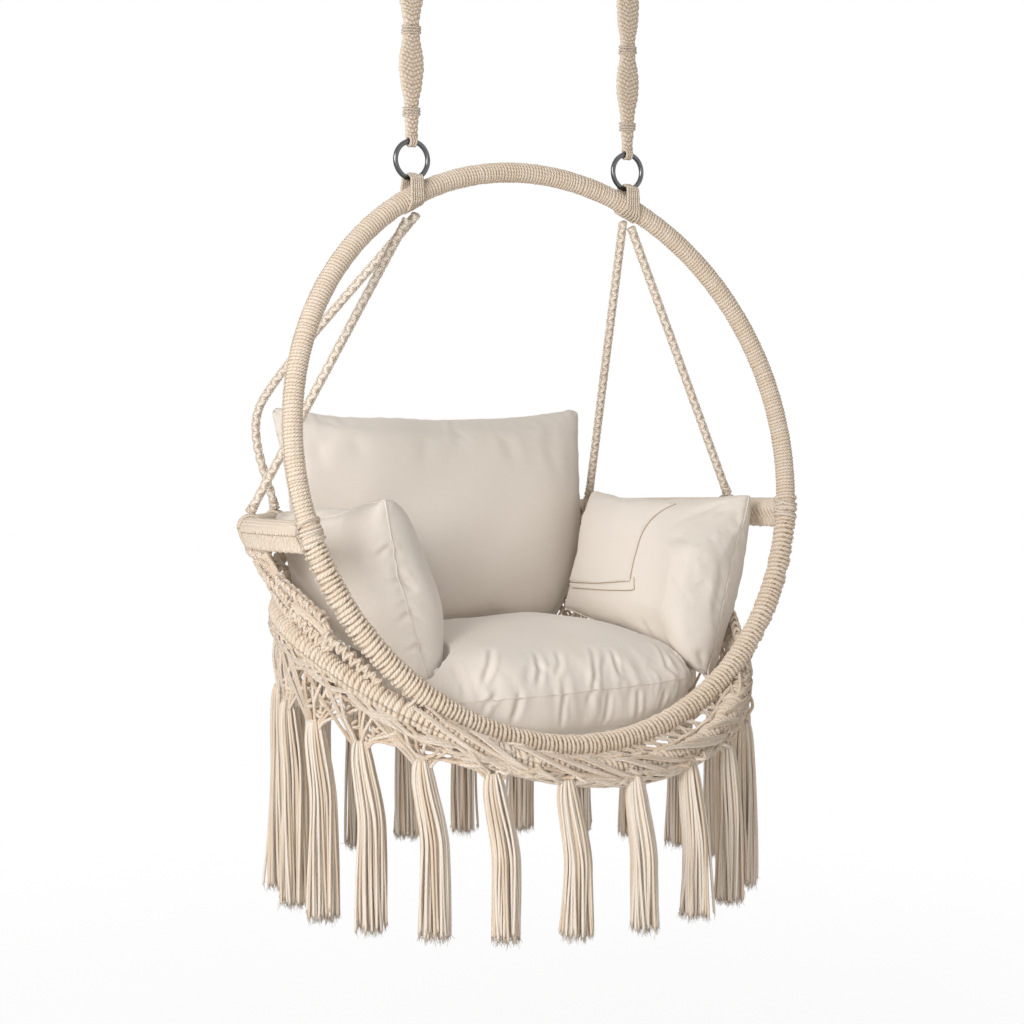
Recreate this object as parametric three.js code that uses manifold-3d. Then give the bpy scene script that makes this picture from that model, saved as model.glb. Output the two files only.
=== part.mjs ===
// Hammock chair that hangs from two ceiling eyes: a leaning steel hoop, a seat rail and a base ring,
// all wrapped in cotton cord, with knotted nets, tassels and four loose cushions.
// Millimetres, +Z up, +Y towards the chair's back. The origin lies midway between the ceiling plates.
import * as THREE from 'three';
import { mergeVertices } from 'three/addons/utils/BufferGeometryUtils.js';
import Module from 'manifold-3d';

const wasm = await Module();
wasm.setup();

// Driving dimensions.
const gap = 0.35; // air between neighbouring pieces
const turnGap = 0.45; // running clearance where one piece swings on another

// hoop
const hoopRadius = 450;
const hoopLean = THREE.MathUtils.degToRad(13.7);
const hangerAngle = THREE.MathUtils.degToRad(26.47);
const railAngle = THREE.MathUtils.degToRad(103.03);
const tubeRadius = 11;
const cordCover = 4.5; // thickness of the wound cord over the steel
const tubeSides = 8;
const hoopSteps = 48;

// hanging hardware
const wireRadius = 4;
const ringRadius = 28;
const ringSides = 8;
const ringSteps = 24;
const screwSides = 12;
const strapEyeSides = 16;
const strapSteps = 26;
const tailStartShare = 0.76; // the strap narrows to its tail between these shares of its length
const tailEndShare = 0.95;
const plateRadius = 28;
const plateThickness = 5;
const eyeInnerDrop = 45; // plate's top face to the inside of the eye
const eyeBendRadius = 14;
const screwRadius = 2.5;
const screwHeadRadius = 4.6;
const screwSinkDepth = 2.2;
const screwOffset = 20.5;
const strapLength = 293.3; // between the two ring wires it joins
const wireToHoop = 27.6; // lower ring's bottom wire to the hoop tube, centre to centre
const strapWide = 42;
const strapNeck = 25;
const strapTail = 19;
const strapThickness = 8;
const strapLobe = 122; // length of one bulge of the strap
const strapEyeWall = 5;
const strapEyeWidth = 13;
const lashingWall = 5;
const lashingTopWidth = 13;
const lashingFootWidth = 30;
const lashingArcSteps = 9;

// seat rail
const railDepth = 495;
const railPower = 2.7;
const railTilt = THREE.MathUtils.degToRad(3); // the rail falls towards the back
const railSteps = 24;
const bandDrop = 24; // how far the rail's hitched band hangs below its tube
const bandToeRadius = 6;
const bandArcSteps = 5;

// base ring
const baseHalfWidth = 385;
const baseHalfDepth = 320;
const baseCentreBack = 120; // its centre lies this far behind the hoop's
const baseFrontDrop = 455; // below the hoop's centre
const baseSideDrop = 275;
const baseBackDrop = 240;
const baseSteps = 40;
const gridSlackShare = 0.2; // no stop lies closer to an end than this share of a step
const shareStep = 1e-5; // how finely a place along the rail is searched

// nets
const netCord = 5;
const wallColumns = 30;
const wallRows = 4;
const wallStart = THREE.MathUtils.degToRad(60);
const seatSpokes = 28;
const seatRows = 4;
const seatHubRadius = 60;
const seatDip = 466; // lowest point of the seat net below the hoop's centre
const seatPower = 4;
const wallRailShare = 0.072; // how far from the rail's ends the wall starts
const climbShare = 1.07; // a sloping tube is this much taller than wide, cut upright
const skirtRows = 2;
const skirtKnotShare = 0.7; // size of a skirt crossing against a net cord

// fringe
const tasselCount = 22;
const tasselHeadRadius = 14;
const tasselTopRadius = 22;
const tasselEndRadius = 31;
const tasselHeadLength = 34;
const tasselSides = 8;
const tasselCircle = 368;
const tasselBottom = 687; // below the hoop's centre
const skirtFront = 8;
const skirtRise = 47;

// soft pieces
const softGap = 1.1; // air round a cushion where another presses a dent into it
const seatSideInset = 111; // its seam lies this far inside the base ring's line
const seatEndInset = 112;
const seatCentreBack = 132;
const seatSeamDrop = 360;
const seatCrown = 92;
const seatPlanPower = 2.6;
const seatCrownPower = 0.6;
const seatBellyPower = 0.3;
const seatStand = 9.8; // upright distance from the seat net to the cushion's underside
const seatGrid = 16;
const backWidth = 622;
const backHeight = 405;
const backFront = 84; // half thickness towards the sitter
const backRear = 52;
const backCentre = { side: -3, back: 346, drop: 130 };
const backLean = THREE.MathUtils.degToRad(11);
const backRoll = THREE.MathUtils.degToRad(1.2); // it sits a little askew, its left side higher
const backFoot = { pinchShare: 0.6, power: 4.5 };
const backGrid = { across: 14, high: 12 };
const backCrownPower = 0.55;
const armCrownPower = 0.34;
const armGrid = 10;
const drawnInShare = 0.06; // how far a pillow's sides bow inwards between its corners

// ropes
const ropeRadius = 5.75;
const ropeSides = 8;
const ropeSteps = 22;
const tieWall = 5;
const tieWidth = 13;
const tieSteps = 2;
const ropeBearing = { inset: 1.7, behind: 20.4 }; // where the left rope bears on the back cushion's corner
const ropeApart = 8;
const ropeTension = 0.35;
const ropeHeadShare = 0.85; // lashing and tie are round, so a rope's end stands off by less than its rim's rise
const ropeFootShare = 0.5;

// Derived sizes.
const coverRadius = tubeRadius + cordCover;
const seatHalfWidth = baseHalfWidth - seatSideInset;
const seatHalfDepth = baseHalfDepth - seatEndInset;
const railHalfWidth = hoopRadius * Math.sin(railAngle);
const boreCorner = (tubeRadius + gap) / Math.cos(Math.PI / tubeSides);
const eyeWireZ = -(eyeInnerDrop + wireRadius);
const topRingZ = eyeWireZ + 2 * wireRadius + gap - ringRadius;
const topWireZ = topRingZ - ringRadius;
const lowRingZ = topWireZ - strapLength - ringRadius;
const lowWireZ = lowRingZ - ringRadius;
const hangerZ = lowWireZ - wireToHoop;
const hangerX = hoopRadius * Math.sin(hangerAngle);
const hoopUp = new THREE.Vector3(0, Math.sin(hoopLean), Math.cos(hoopLean));
const hoopCentre = new THREE.Vector3(0, 0, hangerZ)
  .addScaledVector(hoopUp, -hoopRadius * Math.cos(hangerAngle));
hoopCentre.setY(-hoopRadius * Math.cos(hangerAngle) * Math.sin(hoopLean));

// Materials.
const steel = { color: 0xb9bcc0, roughness: 0.28, metalness: 0.95 };
const frameSteel = { color: 0x6d6f72, roughness: 0.5, metalness: 0.85 };
const cotton = { color: 0xe9dfc9, roughness: 0.92, metalness: 0 };
const canvas = { color: 0xe6dcc8, roughness: 0.95, metalness: 0 };

const object = new THREE.Group();
object.name = 'hammock_chair';

// Helpers.
function add(name, geometry, look) {
  const clean = geometry.clone();
  clean.deleteAttribute('normal');
  clean.deleteAttribute('uv');
  const mesh = new THREE.Mesh(mergeVertices(clean, 1e-3), new THREE.MeshStandardMaterial(look));
  mesh.geometry.computeVertexNormals();
  mesh.name = name;
  object.add(mesh);
}

function toManifold(geometry) {
  const clean = geometry.clone();
  clean.deleteAttribute('normal');
  clean.deleteAttribute('uv');
  const merged = mergeVertices(clean, 1e-3);
  return new wasm.Manifold(new wasm.Mesh({
    numProp: 3,
    vertProperties: new Float32Array(merged.attributes.position.array),
    triVerts: new Uint32Array(merged.index.array),
  }));
}

function fromManifold(solid) {
  const data = solid.getMesh();
  const geometry = new THREE.BufferGeometry();
  geometry.setAttribute('position', new THREE.BufferAttribute(new Float32Array(data.vertProperties), 3));
  geometry.setIndex(new THREE.BufferAttribute(new Uint32Array(data.triVerts), 1));
  return geometry;
}

function moved(geometry, x, y, z) {
  return geometry.clone().translate(x, y, z);
}

// A curve given by a function of 0..1. An upright one keeps the section's +x pointing down.
class PathCurve extends THREE.Curve {
  constructor(at, upright = false) {
    super();
    this.at = at;
    this.upright = upright;
  }
  computeFrenetFrames(segments, closed) {
    if (!this.upright) return super.computeFrenetFrames(segments, closed);
    const frames = { tangents: [], normals: [], binormals: [] };
    for (let i = 0; i <= segments; i += 1) {
      const tangent = this.getTangentAt(i / segments);
      const normal = new THREE.Vector3(0, 0, -1);
      normal.addScaledVector(tangent, -normal.dot(tangent)).normalize();
      frames.tangents.push(tangent);
      frames.normals.push(normal);
      frames.binormals.push(new THREE.Vector3().crossVectors(tangent, normal));
    }
    return frames;
  }
  getPoint(t, target = new THREE.Vector3()) {
    return target.copy(this.at(t));
  }
  getPointAt(t, target) {
    return this.getPoint(t, target);
  }
  getTangentAt(t, target) {
    return this.getTangent(t, target);
  }
}

function polygon(radius, sides, turn = 0) {
  const shape = [];
  for (let i = 0; i < sides; i += 1) {
    const a = turn + (2 * Math.PI * i) / sides;
    shape.push(new THREE.Vector2(radius * Math.cos(a), radius * Math.sin(a)));
  }
  return shape;
}

function along(path, outline, holes, steps, upright = false) {
  const shape = new THREE.Shape(outline);
  for (const hole of holes) shape.holes.push(new THREE.Path(hole));
  const options = { steps, bevelEnabled: false, extrudePath: new PathCurve(path, upright) };
  return new THREE.ExtrudeGeometry(shape, options);
}

// Outline of the smallest loop round two circles that lie on one axis, centres `span` apart.
function stadium(endRadius, farRadius, span, points, stretch = 1) {
  const slope = Math.asin((endRadius - farRadius) / span);
  const outline = [];
  for (let i = 0; i <= points; i += 1) {
    const a = Math.PI / 2 - slope + ((Math.PI + 2 * slope) * i) / points;
    outline.push(new THREE.Vector2(endRadius * Math.cos(a) * stretch, endRadius * Math.sin(a)));
  }
  for (let i = 0; i <= points; i += 1) {
    const a = -Math.PI / 2 + slope + ((Math.PI - 2 * slope) * i) / points;
    outline.push(new THREE.Vector2(span + farRadius * Math.cos(a), farRadius * Math.sin(a)));
  }
  return outline;
}

// Hoop, rail and base ring: centre lines.
function hoopPoint(angle, radius = hoopRadius) {
  return new THREE.Vector3(radius * Math.sin(angle), 0, 0)
    .addScaledVector(hoopUp, radius * Math.cos(angle)).add(hoopCentre);
}

const railZ = hoopPoint(railAngle).z;
const railFrontY = hoopPoint(railAngle).y;

// share 0 is the left joint, 1 the right joint; the rail is a superellipse open to the front
function railPoint(share) {
  const a = Math.PI * share;
  const wide = Math.sign(Math.cos(a)) * Math.abs(Math.cos(a)) ** (2 / railPower);
  const deep = Math.abs(Math.sin(a)) ** (2 / railPower);
  const back = railDepth * deep;
  return new THREE.Vector3(-railHalfWidth * wide, railFrontY + back, railZ - back * Math.tan(railTilt));
}

const baseMean = -(baseFrontDrop + baseBackDrop + 2 * baseSideDrop) / 4;
const baseTilt = -(baseFrontDrop - baseBackDrop) / 2;
const baseBend = -(baseFrontDrop + baseBackDrop - 2 * baseSideDrop) / 4;

function baseHeight(angle) {
  return hoopCentre.z + baseMean + baseTilt * Math.cos(angle) + baseBend * Math.cos(2 * angle);
}

// angle 0 is the front, rising towards +X; `grow` moves the point outwards
function basePoint(angle, grow = 0) {
  return new THREE.Vector3(
    (baseHalfWidth + grow) * Math.sin(angle),
    hoopCentre.y + baseCentreBack - (baseHalfDepth + grow) * Math.cos(angle),
    baseHeight(angle),
  );
}

// Hanging hardware.
function ceilingEye(x) {
  const legTop = -plateThickness / 2;
  const bendZ = eyeWireZ + eyeBendRadius;
  const path = (t) => {
    const leg = (legTop - bendZ) / (2 * (legTop - bendZ) + Math.PI * eyeBendRadius);
    if (t < leg) return new THREE.Vector3(-eyeBendRadius, 0, legTop - (legTop - bendZ) * (t / leg));
    if (t > 1 - leg) {
      return new THREE.Vector3(eyeBendRadius, 0, bendZ + (legTop - bendZ) * ((t - 1 + leg) / leg));
    }
    const a = (Math.PI * (t - leg)) / (1 - 2 * leg);
    return new THREE.Vector3(-eyeBendRadius * Math.cos(a), 0, bendZ - eyeBendRadius * Math.sin(a));
  };
  const wire = along(path, polygon(wireRadius, ringSides), [], ringSteps / 2);
  const plate = new THREE.CylinderGeometry(plateRadius, plateRadius, plateThickness, ringSteps)
    .rotateX(Math.PI / 2).translate(0, 0, -plateThickness / 2);
  let solid = toManifold(plate).add(toManifold(wire));
  for (const side of [-1, 1]) solid = solid.subtract(toManifold(screwHole(side * screwOffset)));
  add(`ceiling_eye_${x < 0 ? 'left' : 'right'}`, moved(fromManifold(solid), x, 0, 0), steel);
}

function screwHole(y) {
  const through = plateThickness + gap;
  const profile = [
    new THREE.Vector2(0, -through),
    new THREE.Vector2(screwHeadRadius, -through),
    new THREE.Vector2(screwHeadRadius, -plateThickness),
    new THREE.Vector2(screwRadius, -plateThickness + screwSinkDepth),
    new THREE.Vector2(screwRadius, gap),
    new THREE.Vector2(0, gap),
  ];
  return new THREE.LatheGeometry(profile, screwSides).rotateX(Math.PI / 2).translate(0, y, 0);
}

function steelRing(name, x, z, acrossX) {
  const ring = new THREE.TorusGeometry(ringRadius, wireRadius, ringSides, ringSteps);
  if (acrossX) ring.rotateX(Math.PI / 2);
  else ring.rotateY(Math.PI / 2);
  add(name, moved(ring, x, 0, z), steel);
}

// half width of the strap at a share of its length, top to bottom
function strapHalfWidth(share) {
  const lobes = strapLength / strapLobe;
  const swell = (1 - Math.cos(2 * Math.PI * lobes * share)) / 2;
  const full = strapNeck + (strapWide - strapNeck) * swell;
  const taper = Math.min(1, Math.max(0, (share - tailStartShare) / (tailEndShare - tailStartShare)));
  return (full + (strapTail - full) * taper) / 2;
}

function strapBody() {
  const left = [];
  const right = [];
  const top = -strapEyeWall - wireRadius;
  const bottom = -strapLength + wireRadius + strapEyeWall / 2;
  for (let i = 0; i <= strapSteps; i += 1) {
    const share = i / strapSteps;
    const half = strapHalfWidth(share);
    left.push(new THREE.Vector2(-half, top + (bottom - top) * share));
    right.unshift(new THREE.Vector2(half, top + (bottom - top) * share));
  }
  const options = { depth: strapThickness, steps: 1, bevelEnabled: false };
  return new THREE.ExtrudeGeometry(new THREE.Shape([...left, ...right]), options)
    .rotateX(Math.PI / 2).translate(0, strapThickness / 2, 0);
}

// a short eye of cord with its axis along Y, centred on the origin
function strapEye() {
  const outer = wireRadius + turnGap + strapEyeWall;
  return new THREE.CylinderGeometry(outer, outer, strapEyeWidth, strapEyeSides);
}

function ringBore(acrossX) {
  const bore = new THREE.TorusGeometry(ringRadius, wireRadius + turnGap, ringSides, ringSteps);
  return acrossX ? bore.rotateX(Math.PI / 2) : bore.rotateY(Math.PI / 2);
}

function strap(x) {
  const lowEye = strapEye().rotateZ(Math.PI / 2).translate(0, 0, -strapLength);
  let solid = toManifold(strapBody()).add(toManifold(strapEye())).add(toManifold(lowEye));
  solid = solid.subtract(toManifold(ringBore(false).translate(0, 0, ringRadius)));
  solid = solid.subtract(toManifold(ringBore(true).translate(0, 0, -strapLength - ringRadius)));
  add(`strap_${x < 0 ? 'left' : 'right'}`, moved(fromManifold(solid), x, 0, topWireZ), cotton);
}

// turns of cord that bind the wrapped hoop to the ring's bottom wire
function hoopLashing(x) {
  const side = Math.sign(x);
  const stretch = 1 / Math.cos(hangerAngle);
  const bore = coverRadius / Math.cos(Math.PI / tubeSides) + gap;
  const outer = stadium(bore + lashingWall, wireRadius + turnGap + lashingWall, wireToHoop, lashingArcSteps, stretch);
  const inner = stadium(bore, wireRadius + turnGap, wireToHoop, lashingArcSteps, stretch);
  const shape = new THREE.Shape(outer);
  shape.holes.push(new THREE.Path(inner));
  const options = { depth: lashingTopWidth, steps: 1, bevelEnabled: false };
  const loop = new THREE.ExtrudeGeometry(shape, options);
  const position = loop.attributes.position;
  for (let i = 0; i < position.count; i += 1) {
    const up = position.getX(i);
    const foot = Math.min(1, Math.max(0, 1 - up / wireToHoop));
    const spread = (lashingTopWidth + (lashingFootWidth - lashingTopWidth) * foot) / lashingTopWidth;
    const across = (position.getZ(i) - lashingTopWidth / 2) * spread;
    const slope = -side * Math.tan(hangerAngle) * foot * across;
    const shift = new THREE.Vector3(across, position.getY(i), up).addScaledVector(hoopUp, slope);
    position.setXYZ(i, shift.x, shift.y, shift.z);
  }
  const flip = toManifold(ringBore(true).translate(0, 0, ringRadius + wireToHoop));
  const turned = mirrored(loop);
  const solid = toManifold(turned).subtract(flip);
  add(`hoop_lashing_${x < 0 ? 'left' : 'right'}`, moved(fromManifold(solid), x, 0, hangerZ), cotton);
}

// swaps each triangle's winding, for a shape whose axes were exchanged
function mirrored(geometry) {
  const clean = geometry.index ? geometry.toNonIndexed() : geometry.clone();
  const position = clean.attributes.position;
  const a = new THREE.Vector3();
  const b = new THREE.Vector3();
  for (let i = 0; i < position.count; i += 3) {
    a.fromBufferAttribute(position, i);
    b.fromBufferAttribute(position, i + 1);
    position.setXYZ(i, b.x, b.y, b.z);
    position.setXYZ(i + 1, a.x, a.y, a.z);
  }
  return clean;
}

// Frame.
function hoopTube() {
  const torus = new THREE.TorusGeometry(hoopRadius, tubeRadius, tubeSides, hoopSteps)
    .rotateX(Math.PI / 2 - hoopLean);
  add('hoop_tube', moved(torus, hoopCentre.x, hoopCentre.y, hoopCentre.z), frameSteel);
}

// `from`, then every whole grid step up to `to`, then `to`: tube and wrap bend at the same places
function gridStops(from, to, step) {
  const stops = [from];
  for (let k = Math.ceil(from / step + gridSlackShare); k * step < to - gridSlackShare * step; k += 1) {
    stops.push(k * step);
  }
  stops.push(to);
  return stops;
}

function betweenStops(stops, t) {
  const place = Math.min(stops.length - 2, Math.floor(t * (stops.length - 1)));
  const rest = t * (stops.length - 1) - place;
  return stops[place] + (stops[place + 1] - stops[place]) * rest;
}

function hoopWrap(name, from, to) {
  const stops = gridStops(from, to, (2 * Math.PI) / hoopSteps);
  const path = (t) => hoopPoint(betweenStops(stops, t));
  const bore = polygon(boreCorner, tubeSides);
  add(name, along(path, polygon(coverRadius, tubeSides), [bore], stops.length - 1), cotton);
}

// the rail's share at which it clears the hoop by `reach`
function railShareAt(reach) {
  let share = 0;
  const start = railPoint(0);
  while (railPoint(share).distanceTo(start) < reach) share += shareStep;
  return share;
}

function railTube() {
  const start = railShareAt(tubeRadius / Math.cos(Math.PI / tubeSides));
  const stops = gridStops(start, 1 - start, 1 / railSteps);
  const path = (t) => railPoint(betweenStops(stops, t));
  const tube = along(path, polygon(tubeRadius, tubeSides), [], stops.length - 1, true);
  const cope = new THREE.TorusGeometry(hoopRadius, tubeRadius + gap, tubeSides, hoopSteps)
    .rotateX(Math.PI / 2 - hoopLean).translate(hoopCentre.x, hoopCentre.y, hoopCentre.z);
  add('rail_tube', fromManifold(toManifold(tube).subtract(toManifold(cope))), frameSteel);
}

function railWrap() {
  const start = railShareAt(coverRadius + gap + lashingWall);
  const stops = gridStops(start, 1 - start, 1 / railSteps);
  const path = (t) => railPoint(betweenStops(stops, t));
  const outline = stadium(coverRadius, bandToeRadius, bandDrop, bandArcSteps);
  const bore = polygon(boreCorner, tubeSides);
  add('rail_wrap', along(path, outline, [bore], stops.length - 1, true), cotton);
}

function baseTube() {
  const torus = new THREE.TorusGeometry(baseHalfWidth, tubeRadius, tubeSides, baseSteps);
  const position = torus.attributes.position;
  const spot = new THREE.Vector3();
  for (let i = 0; i < position.count; i += 1) {
    spot.fromBufferAttribute(position, i);
    const angle = Math.atan2(spot.x, -spot.y);
    const grow = Math.hypot(spot.x, spot.y) - baseHalfWidth;
    const place = basePoint(angle, grow);
    position.setXYZ(i, place.x, place.y, place.z + spot.z);
  }
  add('base_tube', torus, frameSteel);
}

function baseWrap() {
  const halfGap = gap / baseHalfDepth;
  const path = (t) => basePoint(-Math.PI + halfGap + 2 * (Math.PI - halfGap) * t);
  const bore = [polygon(boreCorner + gap, tubeSides)];
  add('base_wrap', along(path, polygon(coverRadius, tubeSides), bore, baseSteps), cotton);
}

// Nets.
// A net of flat bars. `spot(i, j)` gives a crossing's place, `out(i, j)` its outward direction; crossings
// exist where i + j is even. A closed net joins its last column to its first.
function net(columns, rows, closed, spot, out, waist) {
  const points = [];
  const faces = [];
  const corners = new Map();
  const wrapColumn = (i) => (closed ? ((i % columns) + columns) % columns : i);
  const exists = (i, j) => j >= 0 && j <= rows && (closed || (i >= 0 && i <= columns)) && (i + j) % 2 === 0;
  const key = (i, j) => `${wrapColumn(i)},${j}`;
  for (let j = 0; j <= rows; j += 1) {
    for (let i = 0; i < (closed ? columns : columns + 1); i += 1) {
      if (exists(i, j)) corners.set(key(i, j), crossing(points, spot, out, i, j, waist));
    }
  }
  const quad = (a, b, c, d) => faces.push(a, b, c, a, c, d);
  for (const [name, own] of corners) {
    const [i, j] = name.split(',').map(Number);
    quad(own.top[0], own.top[1], own.top[2], own.top[3]);
    quad(own.low[3], own.low[2], own.low[1], own.low[0]);
    // sides 0..3 face the crossings at (+,+), (-,+), (-,-) and (+,-)
    const steps = [[1, 1], [-1, 1], [-1, -1], [1, -1]];
    steps.forEach(([di, dj], side) => {
      const p = side;
      const q = (side + 1) % 4;
      const inRange = closed || (i + di >= 0 && i + di <= columns);
      const other = inRange && j + dj >= 0 && j + dj <= rows ? corners.get(key(i + di, j + dj)) : null;
      if (!other) {
        quad(own.top[q], own.top[p], own.low[p], own.low[q]);
      } else if (dj > 0) {
        const r = (side + 2) % 4;
        const s = (side + 3) % 4;
        quad(own.top[q], own.top[p], other.top[s], other.top[r]);
        quad(own.low[p], own.low[q], other.low[r], other.low[s]);
        quad(own.top[p], own.low[p], other.low[s], other.top[s]);
        quad(own.low[q], own.top[q], other.top[r], other.low[r]);
      }
    });
  }
  const geometry = new THREE.BufferGeometry();
  geometry.setAttribute('position', new THREE.BufferAttribute(new Float32Array(points), 3));
  geometry.setIndex(faces);
  return geometry;
}

// the four corners of one crossing, on both faces of the net
function crossing(points, spot, out, i, j, waist) {
  const centre = spot(i, j);
  const normal = out(i, j);
  const reach = 1e-3;
  const right = spot(i + reach, j).sub(spot(i - reach, j)).normalize();
  const up = new THREE.Vector3().crossVectors(normal, right).normalize();
  const top = [];
  const low = [];
  for (const [x, y] of [[1, 0], [0, 1], [-1, 0], [0, -1]]) {
    const corner = centre.clone().addScaledVector(right, x * waist).addScaledVector(up, y * waist);
    top.push(points.length / 3);
    points.push(...corner.clone().addScaledVector(normal, netCord / 2).toArray());
    low.push(points.length / 3);
    points.push(...corner.clone().addScaledVector(normal, -netCord / 2).toArray());
  }
  return { top, low };
}

// place on the wall between the rail (height share 1) and the base ring (height share 0)
function wallSpot(along01, up01) {
  const angle = -wallStart - (2 * Math.PI - 2 * wallStart) * along01;
  const share = wallRailShare + (1 - 2 * wallRailShare) * along01;
  const hang = bandDrop + bandToeRadius + 2 * gap + netCord;
  const upper = railPoint(share).add(new THREE.Vector3(0, 0, -hang));
  const stand = coverRadius * climbShare + netCord + 2 * gap;
  const lower = basePoint(angle).add(new THREE.Vector3(0, 0, stand));
  return lower.lerp(upper, up01);
}

function normalOf(surface, u, v) {
  const e = 1e-3;
  const du = surface(u + e, v).sub(surface(u - e, v));
  const dv = surface(u, v + e).sub(surface(u, v - e));
  return new THREE.Vector3().crossVectors(du, dv).normalize();
}

function wallNet() {
  const spot = (i, j) => wallSpot(i / wallColumns, j / wallRows);
  const out = (i, j) => normalOf(wallSpot, i / wallColumns, j / wallRows);
  add('wall_net', net(wallColumns, wallRows, false, spot, out, netCord), cotton);
}

// place on the seat bowl; share 0 is the hub, 1 the base ring
function seatSpot(turn, share) {
  const angle = -2 * Math.PI * turn;
  const inset = coverRadius + netCord + 3 * gap;
  const rim = basePoint(angle, -inset);
  const centre = new THREE.Vector3(0, hoopCentre.y + baseCentreBack, rim.z);
  const start = seatHubRadius / baseHalfDepth;
  const reach = start + (1 - start) * share;
  const place = centre.lerp(rim, reach);
  const low = hoopCentre.z - seatDip;
  return place.setZ(low + (rim.z - low) * reach ** seatPower);
}

function seatNet() {
  const spot = (i, j) => seatSpot(i / seatSpokes, j / seatRows);
  const out = (i, j) => normalOf(seatSpot, i / seatSpokes, j / seatRows);
  add('seat_net', net(seatSpokes, seatRows, true, spot, out, netCord), cotton);
}

function skirtHeight(angle) {
  return skirtFront + skirtRise * (1 - Math.cos(angle));
}

// place on the skirt; share 1 is just under the base ring, 0 at the tassel heads
function skirtSpot(turn, share) {
  const angle = -2 * Math.PI * turn;
  const drop = coverRadius + netCord + gap + skirtHeight(angle) * (1 - share);
  return basePoint(angle).add(new THREE.Vector3(0, 0, -drop));
}

function skirtNet() {
  const columns = 2 * tasselCount;
  const spot = (i, j) => skirtSpot(i / columns, j / skirtRows);
  const out = (i, j) => normalOf(skirtSpot, i / columns, j / skirtRows);
  add('skirt_net', net(columns, skirtRows, true, spot, out, netCord * skirtKnotShare), cotton);
}

// Fringe.
function tassel(number) {
  const turn = number / tasselCount;
  const angle = -2 * Math.PI * turn;
  const top = skirtSpot(turn, 0).add(new THREE.Vector3(0, 0, -netCord * skirtKnotShare - gap));
  const end = new THREE.Vector3(
    tasselCircle * Math.sin(angle),
    hoopCentre.y + baseCentreBack - tasselCircle * Math.cos(angle),
    hoopCentre.z - tasselBottom,
  );
  const length = top.distanceTo(end);
  const profile = [
    new THREE.Vector2(0, 0),
    new THREE.Vector2(tasselHeadRadius, -tasselHeadRadius / 2),
    new THREE.Vector2(tasselHeadRadius, -tasselHeadLength),
    new THREE.Vector2(tasselTopRadius, -2 * tasselHeadLength),
    new THREE.Vector2(tasselEndRadius, -length),
    new THREE.Vector2(0, -length),
  ].reverse();
  const body = new THREE.LatheGeometry(profile, tasselSides).rotateX(Math.PI / 2);
  const down = end.clone().sub(top).normalize();
  const turnTo = new THREE.Quaternion().setFromUnitVectors(new THREE.Vector3(0, 0, -1), down);
  body.applyQuaternion(turnTo);
  add(`tassel_${String(number + 1).padStart(2, '0')}`, moved(body, top.x, top.y, top.z), cotton);
}

// Cushions.
// closed skin over a square of shares -1..1; `place(u, v, side)` gives the skin's point
function pillowSkin(place, across, high) {
  const points = [];
  const faces = [];
  const ids = new Map();
  const id = (i, j, side) => {
    const edge = i === 0 || j === 0 || i === across || j === high;
    const key = `${i},${j},${edge ? 0 : side}`;
    if (!ids.has(key)) {
      ids.set(key, points.length / 3);
      const u = Math.sin(((i / across) * 2 - 1) * (Math.PI / 2));
      const v = Math.sin(((j / high) * 2 - 1) * (Math.PI / 2));
      points.push(...place(u, v, edge ? 0 : side).toArray());
    }
    return ids.get(key);
  };
  for (let j = 0; j < high; j += 1) {
    for (let i = 0; i < across; i += 1) {
      for (const side of [1, -1]) {
        const [a, b, c, d] = [id(i, j, side), id(i + 1, j, side), id(i + 1, j + 1, side), id(i, j + 1, side)];
        if (side > 0) faces.push(a, b, c, a, c, d);
        else faces.push(c, b, a, d, c, a);
      }
    }
  }
  const geometry = new THREE.BufferGeometry();
  geometry.setAttribute('position', new THREE.BufferAttribute(new Float32Array(points), 3));
  geometry.setIndex(faces);
  return geometry;
}

// A pillow lies in its own x and y; `foot` narrows and lifts its lower end, `front` and `rear` are its two
// half thicknesses. `grow` adds to it all round.
function pillow(size, grow = 0) {
  const wide = size.width / 2 + grow;
  const tall = size.height / 2 + grow;
  return pillowSkin((u, v, side) => {
    const foot = (1 - v) / 2;
    const x = wide * u * (1 - drawnInShare * (1 - v * v)) * (1 - size.foot.pinchShare * foot ** size.foot.power);
    const y = tall * v * (1 - drawnInShare * (1 - u * u)) + (size.lift * foot * (1 + u)) / 2;
    const crown = Math.max(0, (1 - u * u) * (1 - v * v)) ** size.crownPower;
    const half = (side > 0 ? size.front : size.rear) + grow;
    return new THREE.Vector3(x, y, side * crown * half);
  }, size.across, size.high);
}

// a pillow's own frame: x along `right`, y along `rise` as far as it is square to that
function pillowFrame(right, rise, centre) {
  const up = rise.clone().addScaledVector(right, -rise.dot(right)).normalize();
  const normal = new THREE.Vector3().crossVectors(right, up).normalize();
  return new THREE.Matrix4().makeBasis(right, up, normal).setPosition(centre(up));
}

function hoopFrame(side, back, drop) {
  return new THREE.Vector3(side, hoopCentre.y + back, hoopCentre.z - drop);
}

function backFrame() {
  const right = new THREE.Vector3(Math.cos(backRoll), 0, -Math.sin(backRoll));
  const rise = new THREE.Vector3(0, Math.sin(backLean), Math.cos(backLean));
  return pillowFrame(right, rise, () => hoopFrame(backCentre.side, backCentre.back, backCentre.drop));
}

function backPillow(grow = 0) {
  const size = {
    width: backWidth, height: backHeight, front: backFront, rear: backRear, lift: 0,
    foot: backFoot, crownPower: backCrownPower, ...backGrid,
  };
  return pillow(size, grow).applyMatrix4(backFrame());
}

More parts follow.
